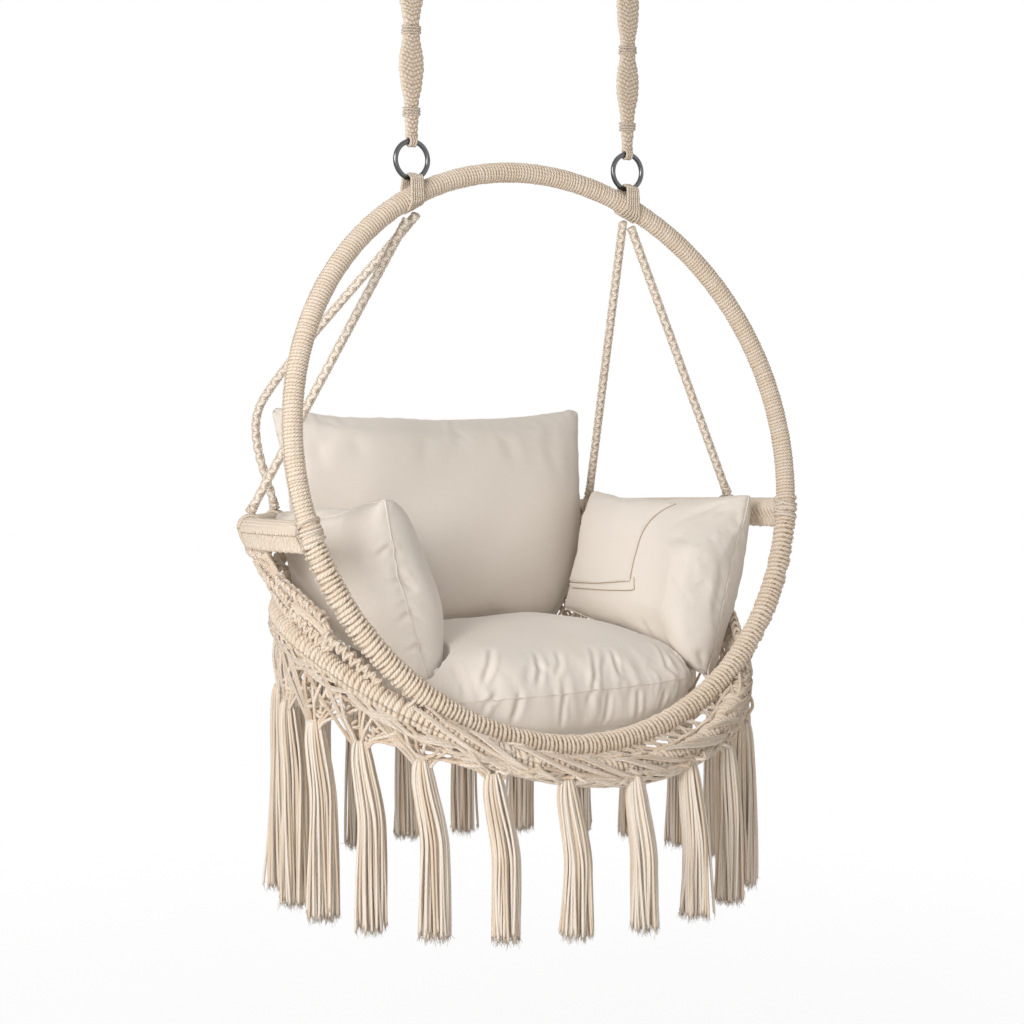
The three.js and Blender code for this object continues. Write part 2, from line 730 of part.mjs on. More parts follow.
// An arm pillow leans on the rail's inner side with its front top corner and runs backwards; its foot
// stands inside the base ring.
function armPillow(arm, grow = 0) {
  const right = new THREE.Vector3(arm.runShares.side, 1, -arm.runShares.fall).normalize();
  const topSide = arm.hand * (railHalfWidth - arm.topInset);
  const footSide = arm.hand * (baseHalfWidth - arm.footInset);
  const rise = new THREE.Vector3((topSide - footSide) / arm.height, arm.leanBackShare, 1);
  const frame = pillowFrame(right, rise, (up) => hoopFrame(topSide, arm.back, arm.drop)
    .addScaledVector(right, arm.width / 2).addScaledVector(up, -arm.height / 2));
  const size = { ...arm, foot: armFoot, crownPower: armCrownPower, across: armGrid, high: armGrid };
  return pillow(size, grow).applyMatrix4(frame);
}

const armFoot = { pinchShare: 0, power: 1 };
const leftArm = {
  hand: -1, back: 22, drop: 60, width: 280, height: 300, lift: 108, front: 100, rear: 46,
  topInset: 148.4, footInset: 167, leanBackShare: 0.13, runShares: { side: -0.17, fall: 0.13 },
};
const rightArm = {
  hand: 1, back: 8.4, drop: 76, width: 320, height: 326, lift: 100, front: 78, rear: 72,
  topInset: 42.4, footInset: 148.7, leanBackShare: 0.08, runShares: { side: -0.38, fall: 0.02 },
};

// height of the seat net's middle above a place in plan
function seatNetHeight(x, y) {
  const inset = coverRadius + netCord + 3 * gap;
  const across = x / (baseHalfWidth - inset);
  const ahead = (hoopCentre.y + baseCentreBack - y) / (baseHalfDepth - inset);
  const low = hoopCentre.z - seatDip;
  return low + (baseHeight(Math.atan2(across, ahead)) - low) * Math.hypot(across, ahead) ** seatPower;
}

// The seat cushion's underside follows the net; the other three cushions press dents into it.
function seatCushion() {
  const place = hoopFrame(0, seatCentreBack, seatSeamDrop);
  const skin = pillowSkin((u, v, side) => {
    const edge = Math.max(Math.abs(u), Math.abs(v));
    const norm = (Math.abs(u) ** seatPlanPower + Math.abs(v) ** seatPlanPower) ** (1 / seatPlanPower);
    const reach = norm === 0 ? 0 : edge / norm;
    const spot = place.clone().add(new THREE.Vector3(u * reach * seatHalfWidth, v * reach * seatHalfDepth, 0));
    const under = seatNetHeight(spot.x, spot.y) + seatStand;
    const seam = Math.max(spot.z, under);
    const inner = Math.max(0, 1 - edge ** 2);
    if (side > 0) return spot.setZ(seam + seatCrown * inner ** seatCrownPower);
    return spot.setZ(seam + (under - seam) * inner ** seatBellyPower);
  }, seatGrid, seatGrid);
  let solid = toManifold(skin);
  for (const press of [backPillow(softGap), armPillow(leftArm, softGap), armPillow(rightArm, softGap)]) {
    solid = solid.subtract(toManifold(press));
  }
  add('seat_cushion', fromManifold(solid), canvas);
}

// Ropes.
// each stay rope runs from under a hoop lashing to a tie on the rail
const ropes = [
  { name: 'rope_back_left', side: -1, inner: false, railShare: 0.31, bears: true },
  { name: 'rope_arm_left', side: -1, inner: true, railShare: 0.13 },
  { name: 'rope_arm_right', side: 1, inner: true, railShare: 0.93 },
  { name: 'rope_back_right', side: 1, inner: false, railShare: 0.73 },
];

// a point on the rail's straight stretches between its bends
function railChord(share) {
  const place = Math.floor(share * railSteps);
  const rest = share * railSteps - place;
  return railPoint(place / railSteps).lerp(railPoint((place + 1) / railSteps), rest);
}

// the middle of the straight stretch that holds `share`
function tieShare(share) {
  return (Math.floor(share * railSteps) + 1 / 2) / railSteps;
}

// the place behind the back cushion's upper left corner that a rope bears on
function bearingPoint() {
  const corner = new THREE.Vector3(ropeBearing.inset - backWidth / 2, backHeight / 2, -ropeBearing.behind);
  return corner.applyMatrix4(backFrame());
}

function ropePath(rope) {
  const under = coverRadius / Math.cos(Math.PI / tubeSides) + gap + lashingWall + gap;
  const shift = rope.side * (rope.inner ? 1 : -1) * ropeApart;
  const start = new THREE.Vector3(rope.side * hangerX + shift, 0, hangerZ);
  const end = railChord(tieShare(rope.railShare));
  end.z += coverRadius + gap + tieWall + gap;
  const over = rope.bears ? bearingPoint() : null;
  // a rope's slanting end stands off from its seat by the rise of its rim
  const radial = hoopPoint(rope.side * hangerAngle).sub(hoopCentre).normalize();
  const topLean = Math.sin(radial.angleTo(start.clone().sub(over ?? end)));
  start.z -= (under + ropeRadius * ropeHeadShare * topLean) / Math.cos(hangerAngle)
    + rope.side * shift * Math.tan(hangerAngle);
  const last = end.clone().sub(over ?? start);
  end.z += ropeRadius * ropeFootShare * (Math.hypot(last.x, last.y) / last.length());
  const stops = over ? [start, over, end] : [start, end];
  return new THREE.CatmullRomCurve3(stops, false, 'catmullrom', ropeTension);
}

function stayRope(rope) {
  const curve = ropePath(rope);
  add(rope.name, along((t) => curve.getPointAt(t), polygon(ropeRadius, ropeSides), [], ropeSteps), cotton);
}

// a turned cord band round the rail under the rope's end
function ropeTie(rope) {
  const middle = tieShare(rope.railShare);
  const stretch = railChord(middle).distanceTo(railPoint(Math.floor(middle * railSteps) / railSteps));
  const half = tieWidth / (4 * stretch * railSteps);
  const path = (t) => railChord(middle - half + 2 * half * t);
  const outline = stadium(coverRadius + gap + tieWall, bandToeRadius + gap + tieWall, bandDrop, bandArcSteps);
  const hole = stadium(coverRadius + gap, bandToeRadius + gap, bandDrop, bandArcSteps);
  add(rope.name.replace('rope', 'tie'), along(path, outline, [hole], tieSteps, true), cotton);
}

for (const x of [-hangerX, hangerX]) {
  const side = x < 0 ? 'left' : 'right';
  ceilingEye(x);
  steelRing(`top_ring_${side}`, x, topRingZ, false);
  strap(x);
  steelRing(`lower_ring_${side}`, x, lowRingZ, true);
  hoopLashing(x);
}
const jointHalf = (coverRadius + gap) / hoopRadius;
hoopTube();
hoopWrap('hoop_wrap_upper', -railAngle + jointHalf, railAngle - jointHalf);
hoopWrap('hoop_wrap_lower', railAngle + jointHalf, 2 * Math.PI - railAngle - jointHalf);
railTube();
railWrap();
baseTube();
baseWrap();
wallNet();
seatNet();
skirtNet();
for (let number = 0; number < tasselCount; number += 1) tassel(number);
seatCushion();
add('back_cushion', backPillow(), canvas);
add('arm_pillow_left', armPillow(leftArm), canvas);
add('arm_pillow_right', armPillow(rightArm), canvas);
for (const rope of ropes) {
  stayRope(rope);
  ropeTie(rope);
}

export default object;
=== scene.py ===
"""Looks of the hammock chair: wound, hitched and knotted cotton cord, canvas cushions, steel rings."""
import math

import bmesh
import bpy
import numpy as np
from mathutils import Matrix, Vector
from mathutils.bvhtree import BVHTree
from mathutils.kdtree import KDTree


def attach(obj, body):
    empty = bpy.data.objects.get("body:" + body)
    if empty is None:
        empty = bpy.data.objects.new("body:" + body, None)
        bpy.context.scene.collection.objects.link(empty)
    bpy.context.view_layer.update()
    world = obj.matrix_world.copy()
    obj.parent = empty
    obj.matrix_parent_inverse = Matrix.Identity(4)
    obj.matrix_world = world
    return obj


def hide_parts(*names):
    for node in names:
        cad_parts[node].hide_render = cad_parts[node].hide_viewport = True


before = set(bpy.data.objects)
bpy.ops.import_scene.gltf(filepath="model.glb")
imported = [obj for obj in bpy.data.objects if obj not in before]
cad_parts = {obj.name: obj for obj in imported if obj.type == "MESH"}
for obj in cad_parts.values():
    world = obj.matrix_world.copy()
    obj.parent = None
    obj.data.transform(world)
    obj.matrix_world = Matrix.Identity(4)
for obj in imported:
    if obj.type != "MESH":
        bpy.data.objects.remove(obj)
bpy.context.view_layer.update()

rng = np.random.default_rng(11)
TAU = 2 * math.pi
X, Y, Z = np.eye(3)

# Sizes of the CAD part, in metres. Angles on the hoop are from its top.
R_HOOP, LEAN = 0.450, math.radians(13.7)
HANG, RAIL = math.radians(26.47), math.radians(103.03)
COVER, WIRE, RING = 0.0155, 0.004, 0.028                    # covered tube, ring wire, ring
EYE_Z, TOP_RING_Z, TOP_WIRE_Z = -0.049, -0.06865, -0.09665
LOW_RING_Z, HANGER_Z = -0.41795, -0.47355
STRAP = 0.2933
HX = R_HOOP * math.sin(HANG)
UP = np.array([0.0, math.sin(LEAN), math.cos(LEAN)])
BACK = np.array([0.0, math.cos(LEAN), -math.sin(LEAN)])
HC = np.array([0.0, -R_HOOP * math.cos(HANG) * math.sin(LEAN),
               HANGER_Z - R_HOOP * math.cos(HANG) * math.cos(LEAN)])
RAIL_W, RAIL_D, RAIL_P = R_HOOP * math.sin(RAIL), 0.495, 2.7
RAIL_TILT = math.radians(3)
RAIL_STEPS = 24
BAND_DROP, BAND_TOE = 0.024, 0.006                          # the band that hangs under the rail
BASE_W, BASE_D, BASE_Y = 0.385, 0.320, 0.120
FRONT, FLANK, REAR = 0.455, 0.275, 0.240                    # how far the base ring hangs under the hoop's centre
NET, GAP = 0.005, 0.00035
SEAT_LOW = HC[2] - 0.466
TASSELS = 22
HANDS = (("left", -1), ("right", 1))

# The camera, at the photograph's angle.
FOCUS, MIDDLE = 2100, 512                                   # in pixels of the photograph
LOOK = Vector((0.5359, 0.8408, -0.0765)).normalized()
ASIDE = Vector((0.8433, -0.5375, 0.0)).normalized()
OVER = ASIDE.cross(LOOK).normalized()
LENS_AT = Vector((-1.7997, -2.6964 + HC[1], 0.1583 + HC[2]))
camera_data = bpy.data.cameras.new("camera")
camera_data.sensor_fit = "HORIZONTAL"
camera_data.sensor_width = 36.0
camera_data.lens = FOCUS / (2 * MIDDLE) * 36
camera_data.clip_end = 60
camera = bpy.data.objects.new("camera", camera_data)
bpy.context.scene.collection.objects.link(camera)
camera.matrix_world = Matrix([(ASIDE[k], OVER[k], -LOOK[k], LENS_AT[k]) for k in range(3)] + [(0, 0, 0, 1)])
bpy.context.scene.camera = camera


# Curves shared with the CAD.
def unit(v):
    return v / np.maximum(np.linalg.norm(v, axis=-1, keepdims=True), 1e-12)


def signed_power(x, power):
    return np.sign(x) * np.abs(x) ** power


def hoop(phi):
    phi = np.asarray(phi, float)[..., None]
    return HC + R_HOOP * (np.sin(phi) * X + np.cos(phi) * UP)


RAIL_Y, RAIL_Z = hoop(RAIL)[1:]


def rail(share):
    a = math.pi * np.asarray(share, float)
    back = RAIL_D * np.abs(np.sin(a)) ** (2 / RAIL_P)
    return np.stack([-RAIL_W * signed_power(np.cos(a), 2 / RAIL_P), RAIL_Y + back,
                     RAIL_Z - back * math.tan(RAIL_TILT)], -1)


def base_z(a):
    mean = -(FRONT + REAR + 2 * FLANK) / 4
    tilt = -(FRONT - REAR) / 2
    bend = -(FRONT + REAR - 2 * FLANK) / 4
    return HC[2] + mean + tilt * np.cos(a) + bend * np.cos(2 * a)


def base(a, grow=0.0):
    """the base ring; angles run from its front"""
    a = np.asarray(a, float)
    return np.stack([(BASE_W + grow) * np.sin(a), HC[1] + BASE_Y - (BASE_D + grow) * np.cos(a), base_z(a)], -1)


def base_frame(a):
    """the base ring's points with their tangent, outward and downward directions"""
    points = base(a)
    tangent = unit(np.gradient(points, axis=0))
    outward = unit(np.cross(tangent, Z))
    return points, tangent, outward, np.cross(tangent, outward)


def base_spot(a):
    """one point of the base ring with its tangent and outward direction"""
    return [rows[0] for rows in base_frame(np.array([a, a + 1e-3]))[:3]]


# Lines and sections.
def circle(count):
    return np.linspace(0, TAU, count, endpoint=False)


def rays(theta, first, second):
    """vectors at angles theta, from first towards second"""
    return np.cos(theta)[..., None] * first + np.sin(theta)[..., None] * second


def oval(centre, first, second, count):
    """a closed loop with half axes first and second"""
    return centre + rays(circle(count), first, second)


def arc(points):
    """the distance along a line at each of its points"""
    return np.concatenate([[0], np.cumsum(np.linalg.norm(np.diff(points, axis=0), axis=1))])


def length_of(points):
    return float(arc(points)[-1])


def resample(points, step, closed=False):
    if closed:
        points = np.concatenate([points, points[:1]])
    s = arc(points)
    t = np.linspace(0, s[-1], max(3, int(round(s[-1] / step))) + 1)
    out = np.stack([np.interp(t, s, column) for column in points.T], -1)
    return out[:-1] if closed else out


def curve_through(points, steps, tension=0.5):
    """cubic through the points, with `steps` steps from each to the next"""
    p = np.asarray(points, float)
    p = np.concatenate([[2 * p[0] - p[1]], p, [2 * p[-1] - p[-2]]])
    t = np.linspace(0, 1, steps, endpoint=False)[:, None]
    out = [(2 * t ** 3 - 3 * t ** 2 + 1) * b + (t ** 3 - 2 * t ** 2 + t) * tension * (c - a)
           + (3 * t ** 2 - 2 * t ** 3) * c + (t ** 3 - t ** 2) * tension * (d - b)
           for a, b, c, d in zip(p, p[1:], p[2:], p[3:])]
    return np.concatenate(out + [p[-2:-1]])


def ridge(x, sharp=0.5):
    """rounded tops with narrow grooves, one per unit of x"""
    f = 2 * (x - np.floor(x)) - 1
    return np.clip(1 - f ** 2, 0, 1) ** sharp


def drift(count, scale, seed):
    """slow random wander of mean 0"""
    knots = np.random.default_rng(seed).normal(size=max(4, int(count / scale) + 4))
    return np.interp(np.linspace(0, len(knots) - 1, count), np.arange(len(knots)), knots)


def lots(x, seed):
    """a random value for each whole turn in x"""
    each = np.random.default_rng(seed).uniform(-1, 1, int(x.max()) + 3)
    return each[np.clip(np.floor(x).astype(int), 0, len(each) - 1)]


def turn_gap(a, b):
    """the angle between two directions, 0 to pi"""
    return np.abs((a - b + math.pi) % TAU - math.pi)


def alternate(k):
    return 1 if k % 2 else -1


# Mesh making.
def make_object(name, verts, faces, smooth=True, attributes=None, uv=None):
    mesh = bpy.data.meshes.new(name)
    sizes = np.array([len(f) for f in faces], np.int32)
    corners = np.concatenate([np.asarray(f, np.int32) for f in faces])
    mesh.vertices.add(len(verts))
    mesh.vertices.foreach_set("co", np.asarray(verts, np.float32).ravel())
    mesh.loops.add(len(corners))
    mesh.loops.foreach_set("vertex_index", corners)
    mesh.polygons.add(len(sizes))
    mesh.polygons.foreach_set("loop_start", np.concatenate([[0], np.cumsum(sizes)[:-1]]).astype(np.int32))
    mesh.polygons.foreach_set("loop_total", sizes)
    mesh.update(calc_edges=True)
    if smooth:
        mesh.polygons.foreach_set("use_smooth", np.ones(len(mesh.polygons), bool))
    for key, values in (attributes or {}).items():
        mesh.attributes.new(key, "FLOAT", "POINT").data.foreach_set("value", np.asarray(values, np.float32))
    if uv is not None:
        mesh.uv_layers.new(name="UVMap").data.foreach_set("uv", np.asarray(uv, np.float32)[corners].ravel())
    obj = bpy.data.objects.new(name, mesh)
    bpy.context.scene.collection.objects.link(obj)
    return obj


def sweep(points, radius, theta, first, second):
    """rings of points round a line; radius has a row for each point and a column for each angle"""
    return points[:, None] + radius[..., None] * rays(theta[None], first[:, None], second[:, None])


def unroll(s, theta):
    """texture coordinates: metres along, turns round"""
    return np.stack(np.broadcast_arrays(s[:, None], theta[None] / TAU), -1)


class Pile:
    """Many tubes gathered into one mesh. `deep` paints shade into grooves and recesses, `tone` picks a strand's
    colour.
    """

    def __init__(self):
        self.v, self.f, self.deep, self.tone, self.uv, self.n = [], [], [], [], [], 0

    def grid(self, verts, deep, tone, uv, closed=False):
        """rings of vertices joined round and along; open ends are capped"""
        rows, cols = verts.shape[:2]
        index = self.n + np.arange(rows * cols).reshape(rows, cols)
        low, high = (index, np.roll(index, -1, 0)) if closed else (index[:-1], index[1:])
        self.f += np.stack([low, np.roll(low, -1, 1), np.roll(high, -1, 1), high], -1).reshape(-1, 4).tolist()
        if not closed:
            self.f += [index[0, ::-1].tolist(), index[-1].tolist()]
        self.v.append(verts.reshape(-1, 3))
        self.deep.append(np.broadcast_to(deep, (rows, cols)).ravel())
        self.tone.append(np.broadcast_to(tone, (rows, cols)).ravel())
        self.uv.append(uv.reshape(-1, 2))
        self.n += rows * cols

    def tube(self, points, radius, ref=Z, step=0.003, sides=8, ply=3, pitch=0.012, depth=0.16, tone=0.5,
             closed=False, taper=None, turn=0.0, groove_shade=0.55):
        """a laid cord along points: `ply` strands, one of which passes in each `pitch`"""
        points = resample(np.asarray(points, float), step, closed)
        if closed:
            tangent = unit(np.roll(points, -1, 0) - np.roll(points, 1, 0))
        else:
            tangent = unit(np.gradient(points, axis=0))
        first = unit(np.cross(tangent, ref))
        s, theta = arc(points), circle(sides)
        wave = np.cos(ply * (theta[None] + turn) - TAU * s[:, None] / pitch)
        r = radius * (1 - depth / 2 + depth / 2 * wave)
        if taper is not None:
            r = r * np.interp(np.linspace(0, 1, len(points)), *taper)[:, None]
        # deep: shade painted into the grooves between the plies
        self.grid(sweep(points, r, theta, first, np.cross(tangent, first)),
                  np.clip(0.5 - 0.5 * wave, 0, 1) * groove_shade, tone, unroll(s, theta), closed)

    def make(self, name):
        return make_object(name, np.concatenate(self.v), self.f, True,
                           {"deep": np.concatenate(self.deep), "tone": np.concatenate(self.tone)},
                           np.concatenate(self.uv))


def sleeve(name, verts, s, theta, deep, tone):
    """one piece from a single set of rings"""
    pile = Pile()
    pile.grid(verts, deep, tone, unroll(s, theta))
    return pile.make(name)


# Materials.
def lin(rgb):
    return tuple(c / 12.92 if c <= 0.04045 else ((c + 0.055) / 1.055) ** 2.4 for c in rgb) + (1.0,)


def put(tree, value, socket):
    """a link or a fixed value"""
    if hasattr(value, "is_output"):
        tree.links.new(value, socket)
    else:
        socket.default_value = value


def node(tree, kind, *sockets, **values):
    """a new node with its first inputs, then its named inputs and settings"""
    n = tree.nodes.new("ShaderNode" + kind)
    for key, value in values.items():
        if key in n.inputs:
            put(tree, value, n.inputs[key])
        else:
            setattr(n, key, value)
    for value, socket in zip(sockets, n.inputs):
        put(tree, value, socket)
    return n


def calc(tree, operation, *values):
    return node(tree, "Math", *values, operation=operation).outputs[0]


def weigh(tree, a, x, b, y):
    """a * x + b * y"""
    return calc(tree, "ADD", calc(tree, "MULTIPLY", a, x), calc(tree, "MULTIPLY", b, y))


def blend(tree, share, a, b):
    """a mix of two colours"""
    n = node(tree, "Mix", share, data_type="RGBA")
    put(tree, a, n.inputs[6])
    put(tree, b, n.inputs[7])
    return n.outputs[2]


def noise(tree, coord, scale, detail):
    return node(tree, "TexNoise", Vector=coord, Scale=scale, Detail=detail).outputs["Fac"]


def new_material(name, roughness, sheen=0.0, specular=0.25, metallic=0.0):
    m = bpy.data.materials.new(name)
    m.use_nodes = True
    tree = m.node_tree
    bsdf = tree.nodes["Principled BSDF"]
    for key, value in (("Roughness", roughness), ("Specular IOR Level", specular), ("Metallic", metallic),
                       ("Sheen Weight", sheen), ("Sheen Roughness", 0.5)):
        bsdf.inputs[key].default_value = value
    return m, tree, bsdf, node(tree, "TexCoord").outputs["Object"]


def emboss(tree, bsdf, height, strength, distance):
    put(tree, node(tree, "Bump", Strength=strength, Distance=distance, Height=height).outputs[0],
        bsdf.inputs["Normal"])


def cord_material(name, light, tan, groove_shade_colour, fibres, ply=0.005, depth=0.0007):
    """cotton cord: paler and darker strands, painted shade in the grooves, diagonal fibres"""
    m, tree, bsdf, coord = new_material(name, 0.93, 0.08)
    tone, deep = (node(tree, "Attribute", attribute_name=key).outputs["Fac"] for key in ("tone", "deep"))
    fuzz = noise(tree, coord, 160.0, 3.0)
    colour = blend(tree, weigh(tree, tone, 0.62, noise(tree, coord, 22.0, 2.0), 0.42), lin(light), lin(tan))
    # painted shade: grooves and recesses marked by `deep` take on the shade colour, broken up by fuzz
    speck = calc(tree, "ADD", calc(tree, "MULTIPLY", fuzz, 0.35), 0.62)
    groove_shade = calc(tree, "MINIMUM", calc(tree, "MULTIPLY", deep, speck), 1.0)
    put(tree, blend(tree, groove_shade, colour, lin(groove_shade_colour)), bsdf.inputs["Base Color"])
    uv = node(tree, "SeparateXYZ", node(tree, "UVMap", uv_map="UVMap").outputs[0]).outputs
    lines = calc(tree, "SINE", calc(tree, "MULTIPLY", weigh(tree, uv[0], 1 / ply, uv[1], fibres), TAU))
    emboss(tree, bsdf, weigh(tree, lines, 0.5, fuzz, 0.8), 0.8, depth)
    return m


def canvas_material(name, light, shade):
    """plain-woven cotton: slubs both ways, faint crumple"""
    m, tree, bsdf, coord = new_material(name, 0.94, 0.12)
    slubs = [noise(tree, node(tree, "Mapping", Vector=coord, Scale=scale).outputs[0], 1.0, 2.0)
             for scale in ((900, 90, 60), (90, 70, 900), (70, 900, 90))]
    weave = calc(tree, "ADD", calc(tree, "ADD", *slubs[:2]), slubs[2])
    blotch = weigh(tree, noise(tree, coord, 9.0, 3.0), 0.35, weave, 0.16)
    put(tree, blend(tree, blotch, lin(light), lin(shade)), bsdf.inputs["Base Color"])
    emboss(tree, bsdf, weigh(tree, weave, 0.10, noise(tree, coord, 26.0, 2.5), 0.9), 0.5, 0.0022)
    return m


def steel_material(name, colour, rough):
    m, tree, bsdf, coord = new_material(name, rough, specular=0.5, metallic=1.0)
    put(tree, blend(tree, noise(tree, coord, 70.0, 4.0), lin(colour), lin([c * 0.72 for c in colour])),
        bsdf.inputs["Base Color"])
    scratch = calc(tree, "MULTIPLY", noise(tree, coord, 500.0, 2.0), 0.16)
    put(tree, calc(tree, "ADD", scratch, rough - 0.08), bsdf.inputs["Roughness"])
    return m


# Each cord's colours: pale strand, tan strand, then the shade painted into its grooves.
WOUND = cord_material("wound_cord", (0.93, 0.89, 0.835), (0.865, 0.79, 0.70), (0.66, 0.53, 0.40), 19.0,
                      depth=0.0010)
LAID = cord_material("laid_cord", (0.965, 0.935, 0.895), (0.88, 0.80, 0.705), (0.72, 0.59, 0.46), 3.0, 0.004)
BRAID = cord_material("braided_cord", (0.90, 0.862, 0.81), (0.84, 0.775, 0.69), (0.68, 0.57, 0.45), 3.0, 0.004)
# painted shadow lines along the right pillow's pocket flap
FLAP_SHADE = cord_material("flap_shadow_line", (0.80, 0.71, 0.60), (0.74, 0.63, 0.51), (0.62, 0.50, 0.38), 3.0)
CANVAS = canvas_material("canvas", (0.918, 0.892, 0.862), (0.868, 0.832, 0.786))
STEEL = steel_material("polished_steel", (0.44, 0.44, 0.45), 0.20)
DULL = steel_material("bare_tube", (0.45, 0.45, 0.46), 0.5)


def dress(obj, body, material, slot, *nodes):
    obj.data.materials.clear()
    obj.data.materials.append(material)
    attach(obj, body)
    if nodes:
        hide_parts(*nodes)
    return obj


def cord_piece(obj, material, *nodes):
    return dress(obj, "chair", material, "cotton_cord", *nodes)


# Ropes: name, side, on the hanger's inner side, share of the rail where it is tied, bears on the back cushion.
ROPES = [
    ("rope_back_left", -1, False, 0.31, True),
    ("rope_arm_left", -1, True, 0.13, False),
    ("rope_arm_right", 1, True, 0.93, False),
    ("rope_back_right", 1, False, 0.73, False),
]
ROPE = 0.0115                                               # thickness


def tie_share(share):
    return (math.floor(share * RAIL_STEPS) + 0.5) / RAIL_STEPS


def rail_chord(share):
    """the CAD's rail, which is straight between its steps"""
    at = math.floor(share * RAIL_STEPS)
    rest = share * RAIL_STEPS - at
    return rail(at / RAIL_STEPS) * (1 - rest) + rail((at + 1) / RAIL_STEPS) * rest


def pillow_frame(right, rise, centre, corner=None):
    """a pillow's own frame as a matrix: x along right, y along rise; corner is (width, height) where the
    centre is given by the front top corner"""
    right = unit(np.asarray(right, float))
    rise = np.asarray(rise, float)
    up = unit(rise - (rise @ right) * right)
    if corner:
        centre = centre + right * corner[0] / 2 - up * corner[1] / 2
    m = np.eye(4)
    m[:3, 0], m[:3, 1], m[:3, 2], m[:3, 3] = right, up, np.cross(right, up), centre
    return m


def in_hoop(x, back, drop):
    return np.array([x, HC[1] + back, HC[2] - drop])


def placed(matrix, points):
    return np.asarray(points, float) @ matrix[:3, :3].T + matrix[:3, 3]


PLAIN = dict(lift=0.0, pinch=0.0, foot=1, heavy=0.0, boxed=0.0)
BACK_SIZE = PLAIN | dict(width=0.622, height=0.405, front=0.084, rear=0.052, pinch=0.36, foot=4.5, power=0.55,
                         dip=0.085)
BACK_LEAN, BACK_ROLL = math.radians(11), math.radians(1.2)
BACK_FRAME = pillow_frame((math.cos(BACK_ROLL), 0, -math.sin(BACK_ROLL)),
                          (0, math.sin(BACK_LEAN), math.cos(BACK_LEAN)), in_hoop(-0.003, 0.346, 0.130))
BEARING = placed(BACK_FRAME, (0.0017 - BACK_SIZE["width"] / 2, BACK_SIZE["height"] / 2, -0.0204))


def rope_path(hand, inner, share, bears):
    under = COVER / math.cos(math.pi / 8) + GAP + 0.005 + GAP
    shift = hand * (1 if inner else -1) * 0.008
    start = np.array([hand * HX + shift, 0.0, HANGER_Z])
    end = rail_chord(tie_share(share)) + (COVER + GAP + 0.005 + GAP) * Z
    along = unit(start - (BEARING if bears else end))
    top_lean = math.sin(math.acos(float(np.clip(unit(hoop(hand * HANG) - HC) @ along, -1, 1))))
    start[2] -= (under + ROPE / 2 * 0.85 * top_lean) / math.cos(HANG) + hand * shift * math.tan(HANG)
    last = end - (BEARING if bears else start)
    end[2] += ROPE / 2 * 0.5 * math.hypot(last[0], last[1]) / np.linalg.norm(last)
    stops = [start, BEARING, end] if bears else [start, end]
    return resample(curve_through(stops, 30, 0.35), 0.006)


def braid(pile, path, radius=0.0073, bump=0.0185, sides=20, step=0.0011):
    """a knobbly round braid: two crossing sets of strands"""
    points = resample(path, step)
    tangent = unit(np.gradient(points, axis=0))
    first = unit(np.cross(tangent, (0, 1, 0.2)))
    s, theta = np.arange(len(points)) * step, circle(sides)
    round_, along = 2 * theta[None], TAU * s[:, None] / bump
    one = np.cos(round_ - along + 0.35 * drift(len(s), 30, 7)[:, None])
    two = np.cos(round_ + along + 0.9)
    top = np.clip(np.maximum(one, two), 0, 1) ** 0.6
    uv = unroll(s, theta)
    uv[..., 0] *= np.where(one > two, 1, -1)
    # the third value, deep, is shade painted between the crossing strands
    pile.grid(sweep(points, radius * (0.70 + 0.32 * top), theta, first, np.cross(tangent, first)),
              0.38 * np.clip(1.05 - 1.25 * top, 0, 1), 0.08 + 0.15 * (one > two), uv)


for name, hand, inner, share, bears in ROPES:
    path = rope_path(hand, inner, share, bears)
    pile = Pile()
    braid(pile, path)
    rope = dress(pile.make(name + "_laid"), "chair", LAID, "cotton_cord", name)
    length_of(path)
    tie = Pile()
    middle = tie_share(share)
    spot = rail_chord(middle)
    run = unit(rail_chord(middle + 0.004) - rail_chord(middle - 0.004))
    out = unit(np.array([run[1], -run[0], 0.0]))
    if out[0] * spot[0] + out[1] * 0.3 < 0:
        out = -out
    a = circle(40)
    down = np.clip(-np.sin(a), 0, 1)
    section = (COVER + 0.0024 - 0.0085 * down)[:, None] * rays(a, out, Z) - (BAND_DROP * down)[:, None] * Z
    for k in range(4):
        tie.tube(spot + (k - 1.5) * 0.0046 * run + section, 0.0027, ref=run, closed=True, tone=0.2 + 0.12 * k)
    along = unit(path[-1] - path[-3])
    first = unit(np.cross(along, run))
    for k in range(4):
        size = 0.0066 - 0.0004 * k
        leaning = np.cross(along, first) + 0.35 * math.sin(2.2 * k) * along
        tie.tube(oval(path[-1] - along * (0.001 + 0.0044 * k), size * first, size * leaning, 18), 0.0025,
                 ref=along, closed=True, tone=0.15 + 0.2 * (k % 2))
    tie_name = name.replace("rope", "tie")
    cord_piece(tie.make(tie_name + "_turns"), BRAID, tie_name)


# Straps.
STRAP_TOP, STRAP_FOOT = TOP_WIRE_Z - 0.0052, TOP_WIRE_Z - STRAP + 0.0052
STRAP_PERIOD = 0.122


def strap_half_width(t):
    full = 0.025 + 0.017 * (1 - np.cos(TAU * STRAP / STRAP_PERIOD * t)) / 2
    tail = np.clip((t - 0.76) / 0.19, 0, 1)
    return (full + (0.019 - full) * tail) / 2


